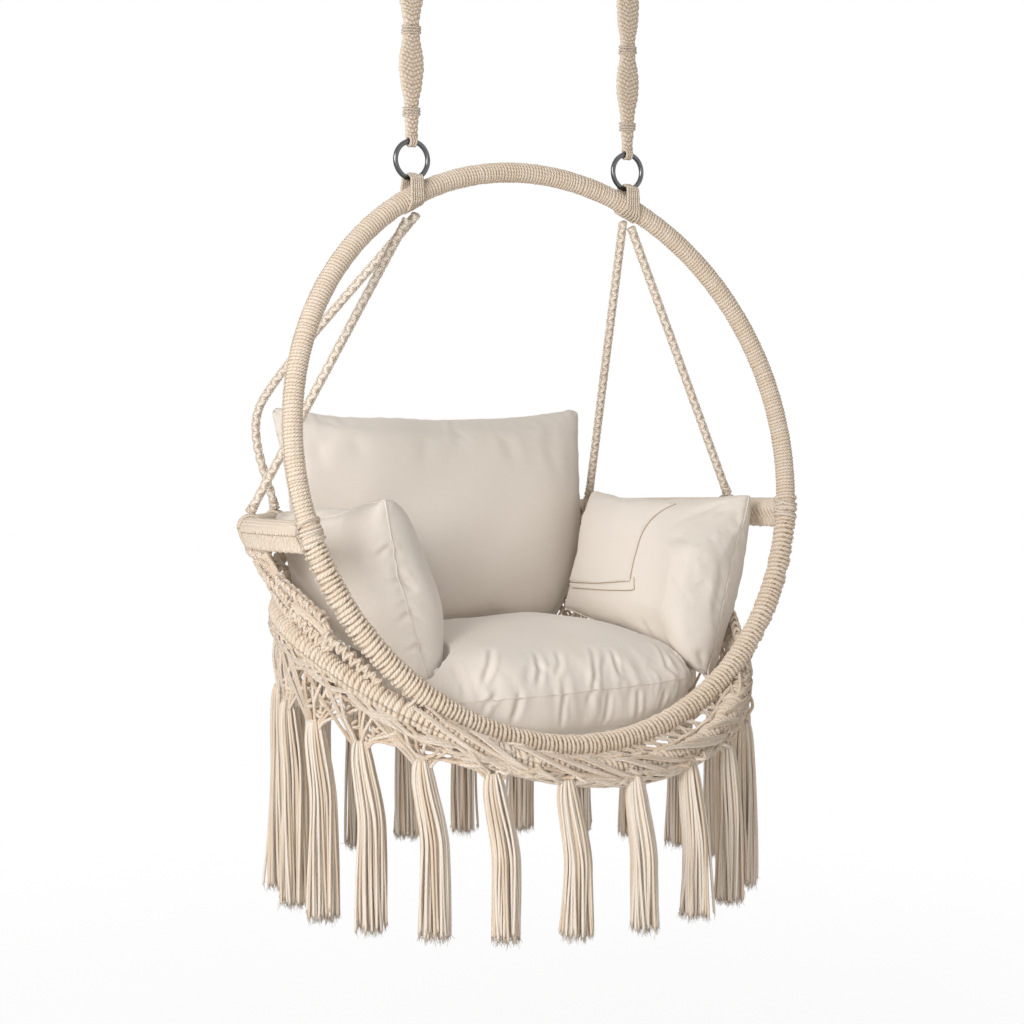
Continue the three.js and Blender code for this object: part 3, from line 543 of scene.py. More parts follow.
def strap(name, x, seed):
    """a sennit of square knots whose width swells and narrows"""
    rows = 430
    t, theta = np.linspace(0, 1, rows), circle(96)
    s = t * (STRAP_TOP - STRAP_FOOT)
    half = strap_half_width(t) * (1 + np.clip(0.03 * drift(rows, 12, 31 + seed), -0.06, 0.04))
    thick = 0.0042 + 0.0012 * np.sin(math.pi * t)
    across, face = signed_power(np.cos(theta), 0.72), signed_power(np.sin(theta), 0.72)
    x_off = half[:, None] * across[None]
    column = x_off / 0.0062
    slant = s[:, None] / 0.0064 + 0.36 * np.abs(column) + drift(rows, 12, 5 + seed)[:, None] * 0.15
    knots = ridge(slant, 0.6) * (0.55 + 0.45 * np.abs(np.cos(math.pi * (column + 0.5 * np.floor(slant)))))
    edge = np.abs(across) ** 6
    swelling = 0.0026 * (knots - 0.55) * (1 - edge)
    loops = 0.0020 * (ridge(s / 0.0098, 0.7)[:, None] - 0.5) * edge
    verts = np.stack([x + x_off + np.sign(across)[None] * loops, (thick[:, None] + swelling) * face[None],
                      np.broadcast_to((STRAP_TOP - s)[:, None], x_off.shape)], -1)
    # deep: shade painted between the knots, weaker at the edges
    deep = np.clip(1.15 - 1.25 * knots, 0, 1) * (1 - 0.6 * edge)
    knotted = sleeve(name + "_knotted", verts, s, theta, deep, 0.42 - 0.40 * edge + 0.18 * np.sin(column * 2.2))

    wraps, a = Pile(), circle(40)
    for neck in (0.0085, STRAP_PERIOD, 2 * STRAP_PERIOD):
        for k in range(3):
            off = neck + (k - 1) * 0.0046
            wide = float(np.interp(off, s, half)) + 0.0012
            loop = np.stack([x + wide * signed_power(np.cos(a), 0.6), 0.0066 * signed_power(np.sin(a), 0.6),
                             STRAP_TOP - off + 0.0008 * np.sin(a + k)], -1)
            wraps.tube(loop, 0.0023, step=0.0025, closed=True, tone=0.05 + 0.1 * k, pitch=0.004)
    for z, run, lateral, bend in ((TOP_WIRE_Z, Y, X, 1), (TOP_WIRE_Z - STRAP, X, Y, -1)):
        for k in range(3):
            off = (k - 1) * 0.0042
            centre = np.array([x, 0, z + bend * off ** 2 / (2 * RING)]) + off * run
            wraps.tube(oval(centre, 0.0070 * lateral, 0.0070 * Z, 24), 0.0025, ref=run, closed=True,
                       tone=0.3 + 0.1 * k)
    return knotted, wraps.make(name + "_turns")


for hand, sign in HANDS:
    x = sign * HX
    piece, turns = strap(f"strap_{hand}", x, 1 if x > 0 else 0)
    dress(piece, f"strap_{hand}", BRAID, "cotton_cord", f"strap_{hand}")
    dress(turns, f"strap_{hand}", BRAID, "cotton_cord")
    line = [[x, 0.0, z] for z in np.linspace(STRAP_FOOT, STRAP_TOP, 30)]
    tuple(line[0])


# Steel.
def steel_ring(name, centre, axis, steps=96):
    first = unit(np.cross(axis, [0.3, 0.4, 1.0]))
    pile = Pile()
    pile.tube(oval(np.array(centre), RING * first, RING * np.cross(axis, first), steps), WIRE, ref=axis,
              step=RING * TAU / steps, sides=20, depth=0.0, closed=True)
    return pile.make(name)


def ceiling_plate(name, x):
    """a round plate with a soft edge and two screw heads"""
    mesh = bmesh.new()
    bmesh.ops.create_cone(mesh, cap_ends=True, segments=72, radius1=0.028, radius2=0.028, depth=0.005,
                          matrix=Matrix.Translation((x, 0, -0.0025)))
    edges = [e for e in mesh.edges if e.calc_face_angle(0) > 1]
    bmesh.ops.bevel(mesh, geom=edges, offset=0.0007, segments=3, affect="EDGES", profile=0.6)
    for y in (-0.0205, 0.0205):
        made = bmesh.ops.create_uvsphere(mesh, u_segments=20, v_segments=10, radius=0.0044,
                                         matrix=Matrix.Translation((x, y, -0.0052)))
        for v in made["verts"]:
            v.co.z = -0.0050 - max(0.0, -0.0050 - v.co.z) * 0.42
    data = bpy.data.meshes.new("plate")
    mesh.to_mesh(data)
    mesh.free()
    plate = bpy.data.objects.new(name, data)
    bpy.context.scene.collection.objects.link(plate)
    return plate


def ceiling_loop(name, x, bend=0.014):
    lower_half = [x, 0, EYE_Z + bend] + bend * rays(np.linspace(math.pi, TAU, 40), X, Z)
    points = np.concatenate([[[x - bend, 0, -0.004]], lower_half, [[x + bend, 0, -0.004]]])
    pile = Pile()
    pile.tube(points, WIRE, ref=Y, step=0.0012, sides=20, depth=0.0)
    return pile.make(name)


for hand, sign in HANDS:
    x = sign * HX
    for obj, body, covered in (
            (ceiling_plate(f"ceiling_plate_{hand}", x), "ceiling_eyes", f"ceiling_eye_{hand}"),
            (ceiling_loop(f"ceiling_loop_{hand}", x), "ceiling_eyes", f"ceiling_eye_{hand}"),
            (steel_ring(f"upper_ring_{hand}", (x, 0, TOP_RING_Z), X), f"top_ring_{hand}", f"top_ring_{hand}"),
            (steel_ring(f"steel_ring_{hand}", (x, 0, LOW_RING_Z), Y), f"lower_ring_{hand}", f"lower_ring_{hand}")):
        dress(obj, body, STEEL, "polished_steel", covered)
for bare in ("hoop_tube", "rail_tube", "base_tube"):
    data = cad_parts[bare].data
    data.materials.clear()
    data.materials.append(DULL)


# Lashings and covers.
def lashing(name, side, turns=6):
    """turns of cord that fan out over the hoop and meet in the ring"""
    pile = Pile()
    a = circle(48)
    up = np.sin(a)
    foot = np.clip(0.5 - 0.5 * up / 0.8, 0, 1)
    radius = np.where(up > 0, WIRE + 0.0026, COVER + 0.0028)
    height = np.where(up > 0, RING - 0.0004, 0.0) + radius * up
    wide = np.cos(a) * (radius + (COVER + 0.0028 - radius) * np.clip(foot * 1.6, 0, 1))
    for k in range(turns):
        along = (2 * k / (turns - 1) - 1) * (0.0048 + 0.0085 * foot)
        slope = -side * math.tan(HANG) * foot * along
        loop = np.stack([side * HX + along, wide + slope * UP[1], HANGER_Z + height + slope * UP[2]], -1)
        loop = curve_through(np.concatenate([loop, loop[:1]])[::2], 4)[:-1]
        pile.tube(loop, 0.0026, ref=X, step=0.0028, closed=True, tone=rng.uniform(0.1, 0.6))
    return pile.make(name + "_turns")


for hand, sign in HANDS:
    cord_piece(lashing(f"hoop_lashing_{hand}", sign), BRAID, f"hoop_lashing_{hand}")


def turns_of(s, theta, pitch, seed, wander=0.12):
    """position along a winding, in turns, with uneven lay"""
    return (s[:, None] / pitch + theta[None] / TAU + wander * drift(len(s), 14, seed)[:, None]
            + 0.05 * np.sin(3 * theta[None] + drift(len(s), 40, seed + 1)[:, None] * 3))


def hoop_cover(name, start, end, pitch, low, high, seed, hitched):
    rows = int(abs(end - start) * R_HOOP / (pitch / 9))
    phi, theta = np.linspace(start, end, rows), circle(48)
    points = hoop(phi)
    outward = unit(points - HC)
    s = (phi - start) * R_HOOP
    x = turns_of(s, theta, pitch, seed)
    top, lot = ridge(x, 0.55), lots(x, seed + 5)
    radius = low + (high - low) * (top + 0.12 * lot)
    # deep: shade painted into the grooves between turns
    deep = np.clip(1.1 - 1.25 * top, 0, 1)
    if hitched:
        group = s / 0.0205 + 0.4 * drift(rows, 60, seed + 2)
        scallop = ridge(group, 0.7)[:, None]
        outer = np.clip(np.cos(theta - 0.15), 0, 1)[None] ** 4
        radius = radius + outer * (0.0052 * scallop - 0.0020) + 0.0007 * scallop
        # shade painted into the gaps between the scallops
        deep = np.clip(deep + outer * np.clip(0.42 - scallop, 0, 1) * 1.8, 0, 1)
        line = 4.45 + 0.22 * np.sin(group * TAU)[:, None]
        dots = np.exp(-(turn_gap(theta[None], line) / 0.17) ** 2) * np.clip(1.45 - 1.5 * top, 0, 1)
        radius = radius - 0.0034 * dots
        # the sunk line of dots is painted with shade too
        deep = np.clip(deep + 1.3 * dots, 0, 1)
    across = np.broadcast_to(BACK, outward.shape)
    return sleeve(name, sweep(points, radius, theta, outward, across), arc(points), theta, deep, 0.42 + 0.3 * lot)


cord_piece(hoop_cover("hoop_winding", -RAIL, RAIL, 0.0054, 0.0134, 0.0157, 3, False), WOUND, "hoop_wrap_upper")
cord_piece(hoop_cover("hoop_hitches", RAIL, TAU - RAIL, 0.0076, 0.0112, 0.0166, 21, True), WOUND, "hoop_wrap_lower")


def joint_turns(name, hand, turns=6):
    """cord wound over the place where the rail meets the hoop"""
    pile = Pile()
    g = np.random.default_rng(70 + hand)
    for k in range(turns):
        phi = hand * (RAIL + (k - (turns - 1) / 2) * 0.0060 / R_HOOP)
        outward = unit(hoop(phi) - HC)
        run = np.cross(outward, BACK)
        lean = g.uniform(-0.15, 0.15) + (0.35 if k in (1, 4) else 0.0)
        radius = COVER + 0.0004 + 0.0010 * (k % 2)
        pile.tube(oval(hoop(phi), radius * outward, radius * (BACK + lean * run), 40), 0.0030, ref=run,
                  step=0.0026, sides=10, closed=True, tone=g.uniform(0, 0.3), pitch=0.005)
    return pile.make(name)


for hand, sign in HANDS:
    cord_piece(joint_turns(f"joint_turns_{hand}", sign), LAID)


def base_cover():
    """chunky uneven hitches round the lower ring"""
    rows = 3000
    a, theta = np.linspace(-math.pi + 0.001, math.pi - 0.001, rows), circle(44)
    points, _, outward, down = base_frame(a)
    s = arc(points)
    slant = 0.30 * np.sin(s / 0.046 + 2 * drift(rows, 300, 48))[:, None] * np.sin(theta)[None]
    x = turns_of(s, theta, 0.0088, 41, 0.22) + slant
    top, lot = ridge(x, 0.5), lots(x, 44)
    lump = ridge(s / 0.033 + 0.5 * drift(rows, 90, 47), 0.7)[:, None]
    line = 0.2 + 0.6 * np.sin(s / 0.033)[:, None]
    dots = np.exp(-(turn_gap(theta[None], line) / 0.2) ** 2) * np.clip(1.3 - 1.5 * top, 0, 1)
    ahead = np.clip((np.cos(a + 0.12) - 0.70) / 0.16, 0, 1)[:, None]
    radius = (0.0110 + 0.0048 * (top + 0.25 * lot) + 0.0026 * lump - 0.0024 * dots) * (1 - 0.22 * ahead)
    # deep: shade painted into the grooves, the sunk dots and the hollows between lumps
    deep = np.clip(1.15 - 1.25 * top + dots + 0.4 * np.clip(0.3 - lump, 0, 1), 0, 1)
    return sleeve("base_winding", sweep(points, radius, theta, outward, -down), s, theta, deep, 0.34 + 0.32 * lot)


cord_piece(base_cover(), WOUND, "base_wrap")


def band_outline(count):
    """closed outline round the rail tube and the band's toe, with outward normals"""
    slope = math.asin((COVER - BAND_TOE) / BAND_DROP)
    above = count * 3 // 4
    upper = rays(np.linspace(-slope, math.pi + slope, above), X[:2], Y[:2])
    lower = rays(np.linspace(math.pi + slope, TAU - slope, count - above), X[:2], Y[:2])
    normal = np.concatenate([upper, lower, upper[:1]])
    ring = np.concatenate([COVER * upper, BAND_TOE * lower - BAND_DROP * Y[:2], COVER * upper[:1]])
    s = arc(ring)
    t = np.linspace(0, s[-1], count, endpoint=False)
    ring, normal = (np.stack([np.interp(t, s, column) for column in rows.T], -1) for rows in (ring, normal))
    return ring, unit(normal)


def rail_cover():
    """rolled top, a row of slanted hitches with sunk slits painted with shade, scalloped foot"""
    share = np.linspace(0, 1, 1500)
    clear = [np.linalg.norm(rail(share) - rail(end), axis=1) > COVER - 0.002 for end in (0.0, 1.0)]
    points = resample(rail(share[clear[0] & clear[1]]), 0.0010)
    outward = unit(np.cross(unit(np.gradient(points, axis=0)), Z))
    inward = outward[:, 1] + outward[:, 0] * points[:, 0] * 4 < 0
    outward = np.where(inward[:, None], -outward, outward)
    columns = 72
    outline, normal = band_outline(columns)
    height = outline[:, 1][None]
    s = arc(points)
    rows = len(s)
    low = np.clip((0.003 - height) / 0.007, 0, 1)
    x = (s / 0.0088 + 0.14 * drift(rows, 16, 61) + 0.1 * drift(rows, 50, 62))[:, None] + 34.0 * height
    top, lot = ridge(x, 0.5), lots(x, 66)
    fine = ridge((s / 0.0050 + 0.1 * drift(rows, 20, 63))[:, None] + 0.25 * outline[:, 0][None] / COVER, 0.7)
    open_up = np.clip((0.32 - (0.5 + 0.5 * np.cos(TAU * (x - 0.5)))) / 0.32, 0, 1)
    slit = np.exp(-((height + 0.0095) / 0.0055) ** 4) * open_up
    lobe = ridge(s / 0.0176 + 0.3 * drift(rows, 60, 64), 0.6)[:, None]
    foot = np.clip((-height - 0.019) / 0.008, 0, 1)
    lift = (low * (0.0022 * top + 0.0004 * lot - 0.0012) - 0.0007 * (1 - low) * (1 - fine) - 0.0040 * slit
            + foot * (0.0036 * lobe - 0.0012))
    off = outline[None] + normal[None] * lift[..., None]
    verts = points[:, None] + off[..., :1] * outward[:, None] + off[..., 1:] * Z
    # deep: shade painted into the grooves, the slits and the hollows between the foot's lobes
    deep = np.clip(low * (1.0 - 1.25 * top) * 0.7 + 1.3 * slit + (1 - low) * 0.35 * (1 - fine)
                   + foot * np.clip(0.45 - lobe, 0, 1) * 1.6, 0, 1)
    return sleeve("rail_band", verts, s, circle(columns), deep, 0.22 + 0.2 * low * lot + 0.1 * low)


cord_piece(rail_cover(), WOUND, "rail_wrap")


# Nets, each a surface with (u, v) from 0 to 1 on which cords and knots lie.
STRAND = dict(sides=8, ply=2, pitch=0.006, depth=0.22)
FRONT_REF = (0, 0.1, 1)
WALL_START, WALL_SHARE, CLIMB = math.radians(60), 0.072, 1.07


def wall(u, v):
    angle = -WALL_START - (TAU - 2 * WALL_START) * u
    upper = rail(WALL_SHARE + (1 - 2 * WALL_SHARE) * u) - (BAND_DROP + BAND_TOE + 2 * GAP + NET) * Z
    lower = base(angle) + (COVER * CLIMB + NET + 2 * GAP) * Z
    return lower + (upper - lower) * v


def seat(turn, share):
    edge = base(-TAU * turn, -(COVER + NET + 3 * GAP))
    centre = np.array([0, HC[1] + BASE_Y, edge[2]])
    hub = 0.060 / BASE_D
    reach = hub + (1 - hub) * share
    spot = centre + (edge - centre) * reach
    spot[2] = SEAT_LOW + (edge[2] - SEAT_LOW) * reach ** 4
    return spot


def surface_normal(surface, u, v, e=1e-3):
    return unit(np.cross(surface(u + e, v) - surface(u - e, v), surface(u, v + e) - surface(u, v - e)))


def on_net(surface, u, v):
    """a net's point, its normal and its direction upwards"""
    return surface(u, v), surface_normal(surface, u, v), unit(surface(u, v + 0.01) - surface(u, v - 0.01))


def strip(surface, a, b, steps):
    """points, normals, directions along and sideways on a line across a surface"""
    t = np.linspace(0, 1, steps)
    uv = np.array(a)[None] + (np.array(b) - np.array(a))[None] * t[:, None]
    line = np.array([surface(u, v) for u, v in uv])
    normal = np.array([surface_normal(surface, u, v) for u, v in uv])
    run = unit(np.gradient(line, axis=0))
    return t, line, normal, run, np.cross(normal, run)


def bundle(pile, surface, a, b, count, radius, spread, bow=0.0, leaf=0.35):
    """loose cords from surface point a to b, gathered at both ends"""
    t, line, normal, _, aside = strip(surface, a, b, 12)
    half = (count - 1) / 2
    for k in range(count):
        f = (k - half) / max(1, half) + rng.uniform(-0.12, 0.12)
        opened = (leaf + (1 - leaf) * np.sin(math.pi * t) ** 0.8)[:, None]
        lift = (bow * np.sin(math.pi * t) + rng.uniform(-0.0008, 0.0008) + 0.0018 * math.cos(k * 2.4))[:, None]
        pile.tube(line + aside * f * spread * opened + normal * lift, radius, ref=normal.mean(0), step=0.004,
                  **STRAND, tone=rng.uniform(0.1, 0.9), turn=rng.uniform(0, 6))


def knot(pile, spot, normal, run, size, cord=0.0030, turns=3):
    """a knot: uneven turns of cord across the run"""
    aside = unit(np.cross(normal, run))
    for k in range(turns):
        f = k - (turns - 1) / 2
        lean = 0.32 * alternate(k) + rng.uniform(-0.1, 0.1)
        big = size * (1 - 0.16 * abs(f))
        loop = oval(spot + f * cord * 1.55 * run, big * (aside + lean * run), 0.58 * big * normal, 18)
        pile.tube(loop, cord, ref=run, step=0.0032, closed=True, pitch=0.006, tone=rng.uniform(0.0, 0.7))


def sennit(pile, surface, a, b, wide=0.0092, gap=0.0074, cord=0.0031):
    """a bar of square knots: paired turns that lean to and fro"""
    steps = 24
    _, line, normal, run, aside = strip(surface, a, b, steps)
    count = max(3, int(length_of(line) / gap))
    for k in range(count):
        at = (k + 0.5) / count
        i = min(steps - 2, int(at * (steps - 1)))
        rest = at * (steps - 1) - i
        spot = line[i] * (1 - rest) + line[i + 1] * rest
        girth = wide * (0.62 + 0.38 * math.sin(math.pi * at)) * rng.uniform(0.92, 1.08)
        loop = oval(spot, girth * (aside[i] + 0.42 * alternate(k) * run[i]), 0.62 * girth * normal[i], 18)
        pile.tube(loop, cord, ref=run[i], closed=True, pitch=0.006, tone=rng.uniform(0.0, 0.55))
    pile.tube(line, wide * 0.5, ref=normal.mean(0), step=0.004, depth=0.0, tone=1.0)


def wall_net():
    pile = Pile()
    c, r, cord = 30, 4, 0.0028
    for i in range(c + 1):
        for j in range(i % 2, r + 1, 2):
            here = (i / c, j / r)
            spot, normal, run = on_net(wall, *here)
            if 0 < j < r:
                knot(pile, spot, normal, run, 0.0105, 0.0032)
            for di in (-1, 1):
                if j < r and 0 <= i + di <= c:
                    there = ((i + di) / c, (j + 1) / r)
                    if di == (1 if i < c / 2 else -1) and j % 2 == 0:
                        sennit(pile, wall, here, there)
                    else:
                        bundle(pile, wall, here, there, 3, cord, 0.0050, bow=0.001)
        if i % 4 == 1 and i < c:
            bundle(pile, wall, (i / c, (r - 1) / r), (i / c, 1.0), 5, cord, 0.0130, bow=0.004, leaf=0.2)
        if i % 4 == 2 and 0 < i < c:
            bundle(pile, wall, (i / c, 0.15 / r), (i / c, 1.85 / r), 5, cord, 0.0120, bow=0.002, leaf=0.15)
    knots = 3 * c
    for i in range(knots):
        u = (i + 0.5 + rng.uniform(-0.2, 0.2)) / knots
        lean = rng.uniform(-0.35, 0.35)
        run = unit(wall(min(1, u + 0.01), 0.97) - wall(max(0, u - 0.01), 0.97))
        knot(pile, wall(u, 0.965 + 0.02 * (i % 2)), surface_normal(wall, u, 0.96), unit(run + lean * Z),
             0.0068, 0.0029, 2)
    return pile.make("wall_macrame")


cord_piece(wall_net(), LAID, "wall_net")


def seat_net():
    pile = Pile()
    c, r = 28, 4
    for i in range(c):
        for j in range(i % 2, r + 1, 2):
            here = (i / c, j / r)
            spot, normal, run = on_net(seat, *here)
            if 0 < j < r:
                knot(pile, spot, normal, run, 0.0050, 0.0021, 2)
            for di in (-1, 1):
                if j < r:
                    bundle(pile, seat, here, ((i + di) / c, (j + 1) / r), 2, 0.0024, 0.0027)
    hub = np.array([seat(t, 0.0) for t in np.linspace(0, 1, 60, endpoint=False)])
    for off in (-0.05, 0.05):
        pile.tube(hub + (hub - hub.mean(0)) * off, 0.0027, closed=True, tone=0.4, pitch=0.006)
    return pile.make("seat_macrame")


cord_piece(seat_net(), LAID, "seat_net")


def tassel_head(number):
    """where a tassel's strands gather: close under the ring in front, lower at the sides"""
    angle = -TAU * number / TASSELS
    front = np.clip(math.cos(angle), 0, 1)
    outward = np.array([math.sin(angle), -math.cos(angle), 0.0])
    drop = COVER + NET + GAP + 0.008 + 0.047 * (1 - math.cos(angle)) + NET * 0.7 + GAP
    rise = 0.020 * front ** 2 - 0.026 * math.sin(angle) ** 2
    return base(angle) + outward * 0.010 * front + (rise - drop) * Z


def skirt_net():
    """strands that run slanting from the ring and gather in each tassel's head"""
    pile = Pile()
    pitch = TAU / TASSELS
    for number in range(TASSELS):
        angle = -TAU * number / TASSELS
        head = tassel_head(number)
        front = 0.5 + 0.5 * math.cos(angle)
        for k in range(14):
            f = (k - 6.5) / 6.5 + rng.uniform(-0.06, 0.06)
            start, tangent, outward = base_spot(angle + f * pitch * (0.95 + 0.55 * front))
            depth = rng.uniform(-0.9, 1.0)
            start = start + outward * 0.0135 * depth - 0.0135 * math.sqrt(1 - 0.8 * depth ** 2) * Z
            neck = head + outward * 0.006 * math.cos(k * 2.4) + tangent * 0.0095 * f
            middle = start * 0.5 + neck * 0.5 + outward * (0.004 * math.sin(k * 1.7) + 0.010 * front)
            middle[2] -= 0.003 * front + rng.uniform(-0.002, 0.002)
            near = neck * 0.86 + start * 0.14
            near[2] = neck[2] + 0.0045
            pile.tube(curve_through([start, middle, near, neck - 0.010 * Z], 12), 0.0030, step=0.0035, **STRAND,
                      tone=float(rng.choice([0.05, 0.35, 0.95])), turn=rng.uniform(0, 6))
        if number % 3 == 0:
            knot(pile, head + 0.004 * Z, np.array([math.sin(angle), -math.cos(angle), 0.0]), Z, 0.0125, 0.0030, 2)
        if front < 0.8:
            for hand in (-1, 1):
                top, _, outward = base_spot(angle + hand * pitch * 0.5)
                top = top - 0.020 * Z + outward * 0.004
                for at in (0.22, 0.5, 0.76):
                    spot = top * (1 - at) + head * at + rng.uniform(-0.0015, 0.0015, 3)
                    knot(pile, spot, outward, unit(head - top), 0.0088, 0.0030, 2)
    # strands that lie over the ring's front and cross each other
    count, steps = 30, 22
    for k in range(count):
        start = -1.02 + 2.04 * (k + 0.5) / count + rng.uniform(-0.03, 0.03)
        line, tangent, outward, down = base_frame(
            np.linspace(start, start + alternate(k) * rng.uniform(0.28, 0.42), steps))
        turn = np.linspace(-1.15, 1.25, steps) + rng.uniform(-0.1, 0.1)
        fade = np.clip(np.minimum(np.arange(steps), steps - 1 - np.arange(steps)) / 3, 0, 1)
        reach = 0.0150 + 0.0022 * fade + 0.0012 * (k % 3)
        line = line + outward * (reach * np.cos(turn))[:, None] + down * (reach * np.sin(turn))[:, None]
        for extra in (0.0, 0.0052, -0.0050):
            pile.tube(line + tangent * extra, 0.0029, ref=FRONT_REF, step=0.004, **STRAND,
                      tone=float(rng.choice([0.0, 0.3, 0.8])))
    # strands that slant from the hoop's lowest part to the ring
    count = 56
    for k in range(count):
        x = -0.30 + 0.60 * (k + 0.5) / count + rng.uniform(-0.004, 0.004)
        slant = alternate(k) * rng.uniform(0.020, 0.036)
        bottom = hoop(math.pi - math.asin(x / R_HOOP))
        top = bottom + unit(bottom - HC) * 0.0135 - BACK * rng.uniform(0.0, 0.010)
        foot = base(math.asin((x + slant) / BASE_W)) - BACK * 0.0145
        pile.tube(curve_through([top, top * 0.55 + foot * 0.45 - BACK * 0.004, foot], 7), 0.0029, ref=FRONT_REF,
                  step=0.004, **STRAND, tone=float(rng.choice([0.0, 0.3, 0.8])))
    # strands that run along under the ring, crossing each other
    a = np.linspace(-math.pi, math.pi, 500, endpoint=False)
    points, _, outward, down = base_frame(a)
    for k in range(14):
        swing = rng.uniform(0, TAU) + a * alternate(k) * rng.integers(11, 17)
        line = (points + outward * (0.004 + 0.0125 * np.cos(swing))[:, None]
                + down * (0.0175 + 0.0085 * np.sin(swing))[:, None])
        pile.tube(line, 0.0030, step=0.004, **(STRAND | dict(depth=0.16)), closed=True,
                  tone=float(rng.choice([0.05, 0.4, 0.9])))
    return pile.make("skirt_macrame")


cord_piece(skirt_net(), LAID, "skirt_net")


# Fringe.
GOLDEN = 2.39996                                            # angle that spreads strands evenly over a disc


def tassel(number, name, count=62):
    """loose strands, each with a few flared fibres at its end, that soon hang plumb"""
    g = np.random.default_rng(900 + number)
    angle = -TAU * number / TASSELS
    top = tassel_head(number)
    end = np.array([0.368 * math.sin(angle), HC[1] + BASE_Y - 0.368 * math.cos(angle), HC[2] - 0.687])
    aside = 0.62 * (end - top) * (X + Y)
    length = top[2] - end[2]
    pile = Pile()
    lean = g.normal(0, 0.10)
    for k in range(count):
        phi = k * GOLDEN + g.normal(0, 0.15)
        s = np.linspace(0, length - abs(g.normal(0, 0.005)) + 0.003, 30)
        ease = np.clip(s / 0.13, 0, 1)
        ease = ease * ease * (3 - 2 * ease)
        neck = np.interp(s, [0, 0.010, 0.030, 0.075, length], [0.0090, 0.0132, 0.0162, 0.0186, 0.0226])
        sway = np.interp(s, [0, 0.06, length], [0, 0, 1])
        wander = 0.0016 * sway * np.sin(s / 0.045 + phi * 3) + 0.003 * sway ** 2 * g.normal()
        way = phi + 0.22 * sway * g.normal() + 0.10 * np.sin(s / 0.07 + k)
        r = neck * math.sqrt((k + 0.5) / count) + wander
        line = (top - s[:, None] * Z + ease[:, None] * aside + r[:, None] * rays(way, X, Y)
                + (0.012 * lean * sway)[:, None] * X)
        tone = float(g.choice([0.0, 0.12, 0.7, 1.0], p=[0.35, 0.25, 0.22, 0.18]))
        pile.tube(line, 0.0023, ref=X, step=0.0046, sides=6, ply=2, pitch=0.010, depth=0.12, groove_shade=0.15, tone=tone,
                  turn=g.uniform(0, 6), taper=([0, 0.94, 1], [1, 1, 0.85]))
        for _ in range(4):
            flare = line[-1] + g.normal(0, 0.0013, 3)
            tip = flare - Z * g.uniform(0.003, 0.010) + g.normal(0, 0.0026, 3)
            pile.tube(np.stack([flare + Z * 0.005, flare, tip]), 0.0007, ref=X, step=0.004, sides=4, depth=0.0,
                      tone=tone * 0.6, taper=([0, 1], [1, 0.3]))
    return pile.make(name + "_strands")


for number in range(TASSELS):
    name = f"tassel_{number + 1:02d}"
    cord_piece(tassel(number, name), LAID, name)


# Cushions.
def sheet_grid(shape, across, high):
    """closed skin over a square of shares, as in the CAD"""
    verts, ids, faces = [], {}, []

    def vid(i, j, s):
        s = 0 if i in (0, across) or j in (0, high) else s
        if (i, j, s) not in ids:
            ids[i, j, s] = len(verts)
            u = math.sin((i / across * 2 - 1) * math.pi / 2)
            v = math.sin((j / high * 2 - 1) * math.pi / 2)
            verts.append(shape(u, v, s))
        return ids[i, j, s]

    for j in range(high):
        for i in range(across):
            for s in (1, -1):
                faces.append([vid(i, j, s), vid(i + 1, j, s), vid(i + 1, j + 1, s), vid(i, j + 1, s)][::s])
    return np.array(verts), faces


def pillow_shape(size, grow=0.0):
    """a pillow as a function of its shares u, v and its face s (1 front, -1 rear, 0 seam)"""
    def shape(u, v, s):
        foot = (1 - v) / 2
        x = (size["width"] / 2 + grow) * u * (1 - 0.06 * (1 - v * v)) * (1 - size["pinch"] * foot ** size["foot"])
        dip = (size["dip"] if v > 0 else 0.05) * (1 - u * u)
        y = (size["height"] / 2 + grow) * v * (1 - dip) + size["lift"] * foot * (1 + u) / 2
        crown = max(0.0, (1 - u * u) * (1 - v * v)) ** size["power"]
        depth = (size["front"] * (1 + size["heavy"] * foot) if s > 0 else size["rear"]) + grow
        boxed = size["boxed"] * (1 if s > 0 else -1.05 * min(1.0, max(0.0, (0.78 - v) / 0.6)))
        ahead = math.exp(-((u + 0.86) / 0.30) ** 2) * max(0.0, 1 - u * u) ** 0.22 * (1 - v * v) ** 0.30
        return (x, y, s * crown * depth + boxed * ahead)
    return shape


def seat_net_height(x, y):
    inset = COVER + NET + 3 * GAP
    across = x / (BASE_W - inset)
    ahead = (HC[1] + BASE_Y - y) / (BASE_D - inset)
    return SEAT_LOW + (base_z(math.atan2(across, ahead)) - SEAT_LOW) * math.hypot(across, ahead) ** 4


def seat_shape(u, v, s):
    """the seat cushion, which rests on the seat net"""
    edge = max(abs(u), abs(v))
    norm = (abs(u) ** 3.8 + abs(v) ** 3.8) ** (1 / 3.8)
    reach = edge / norm if norm else 0.0
    spot = in_hoop(u * reach * 0.284, 0.132 + v * reach * (0.214 if v < 0 else 0.208), 0.360)
    under = seat_net_height(spot[0], spot[1]) + 0.0088
    seam = max(spot[2], under)
    inner = max(0.0, 1 - edge ** 2)
    spot[2] = seam + 0.092 * inner ** 0.6 if s > 0 else seam + (under - seam) * inner ** 0.16
    return spot


def vectors(mesh, key="co"):
    out = np.zeros(len(mesh.vertices) * 3, np.float32)
    mesh.vertices.foreach_get(key, out)
    return out.reshape(-1, 3).astype(float)


def coords(obj):
    return vectors(obj.data)


def normals(obj):
    obj.data.update()
    return vectors(obj.data, "normal")


def set_coords(obj, co):
    obj.data.vertices.foreach_set("co", np.asarray(co, np.float32).ravel())
    obj.data.update()


def evaluated(obj):
    return obj.evaluated_get(bpy.context.evaluated_depsgraph_get())


def modify(obj, kind, **settings):
    """adds a modifier and makes its result the object's mesh"""
    mod = obj.modifiers.new(kind, kind)
    for key, value in settings.items():
        setattr(mod, key, value)
    mesh = bpy.data.meshes.new_from_object(evaluated(obj))
    obj.modifiers.clear()
    old, obj.data = obj.data, mesh
    bpy.data.meshes.remove(old)


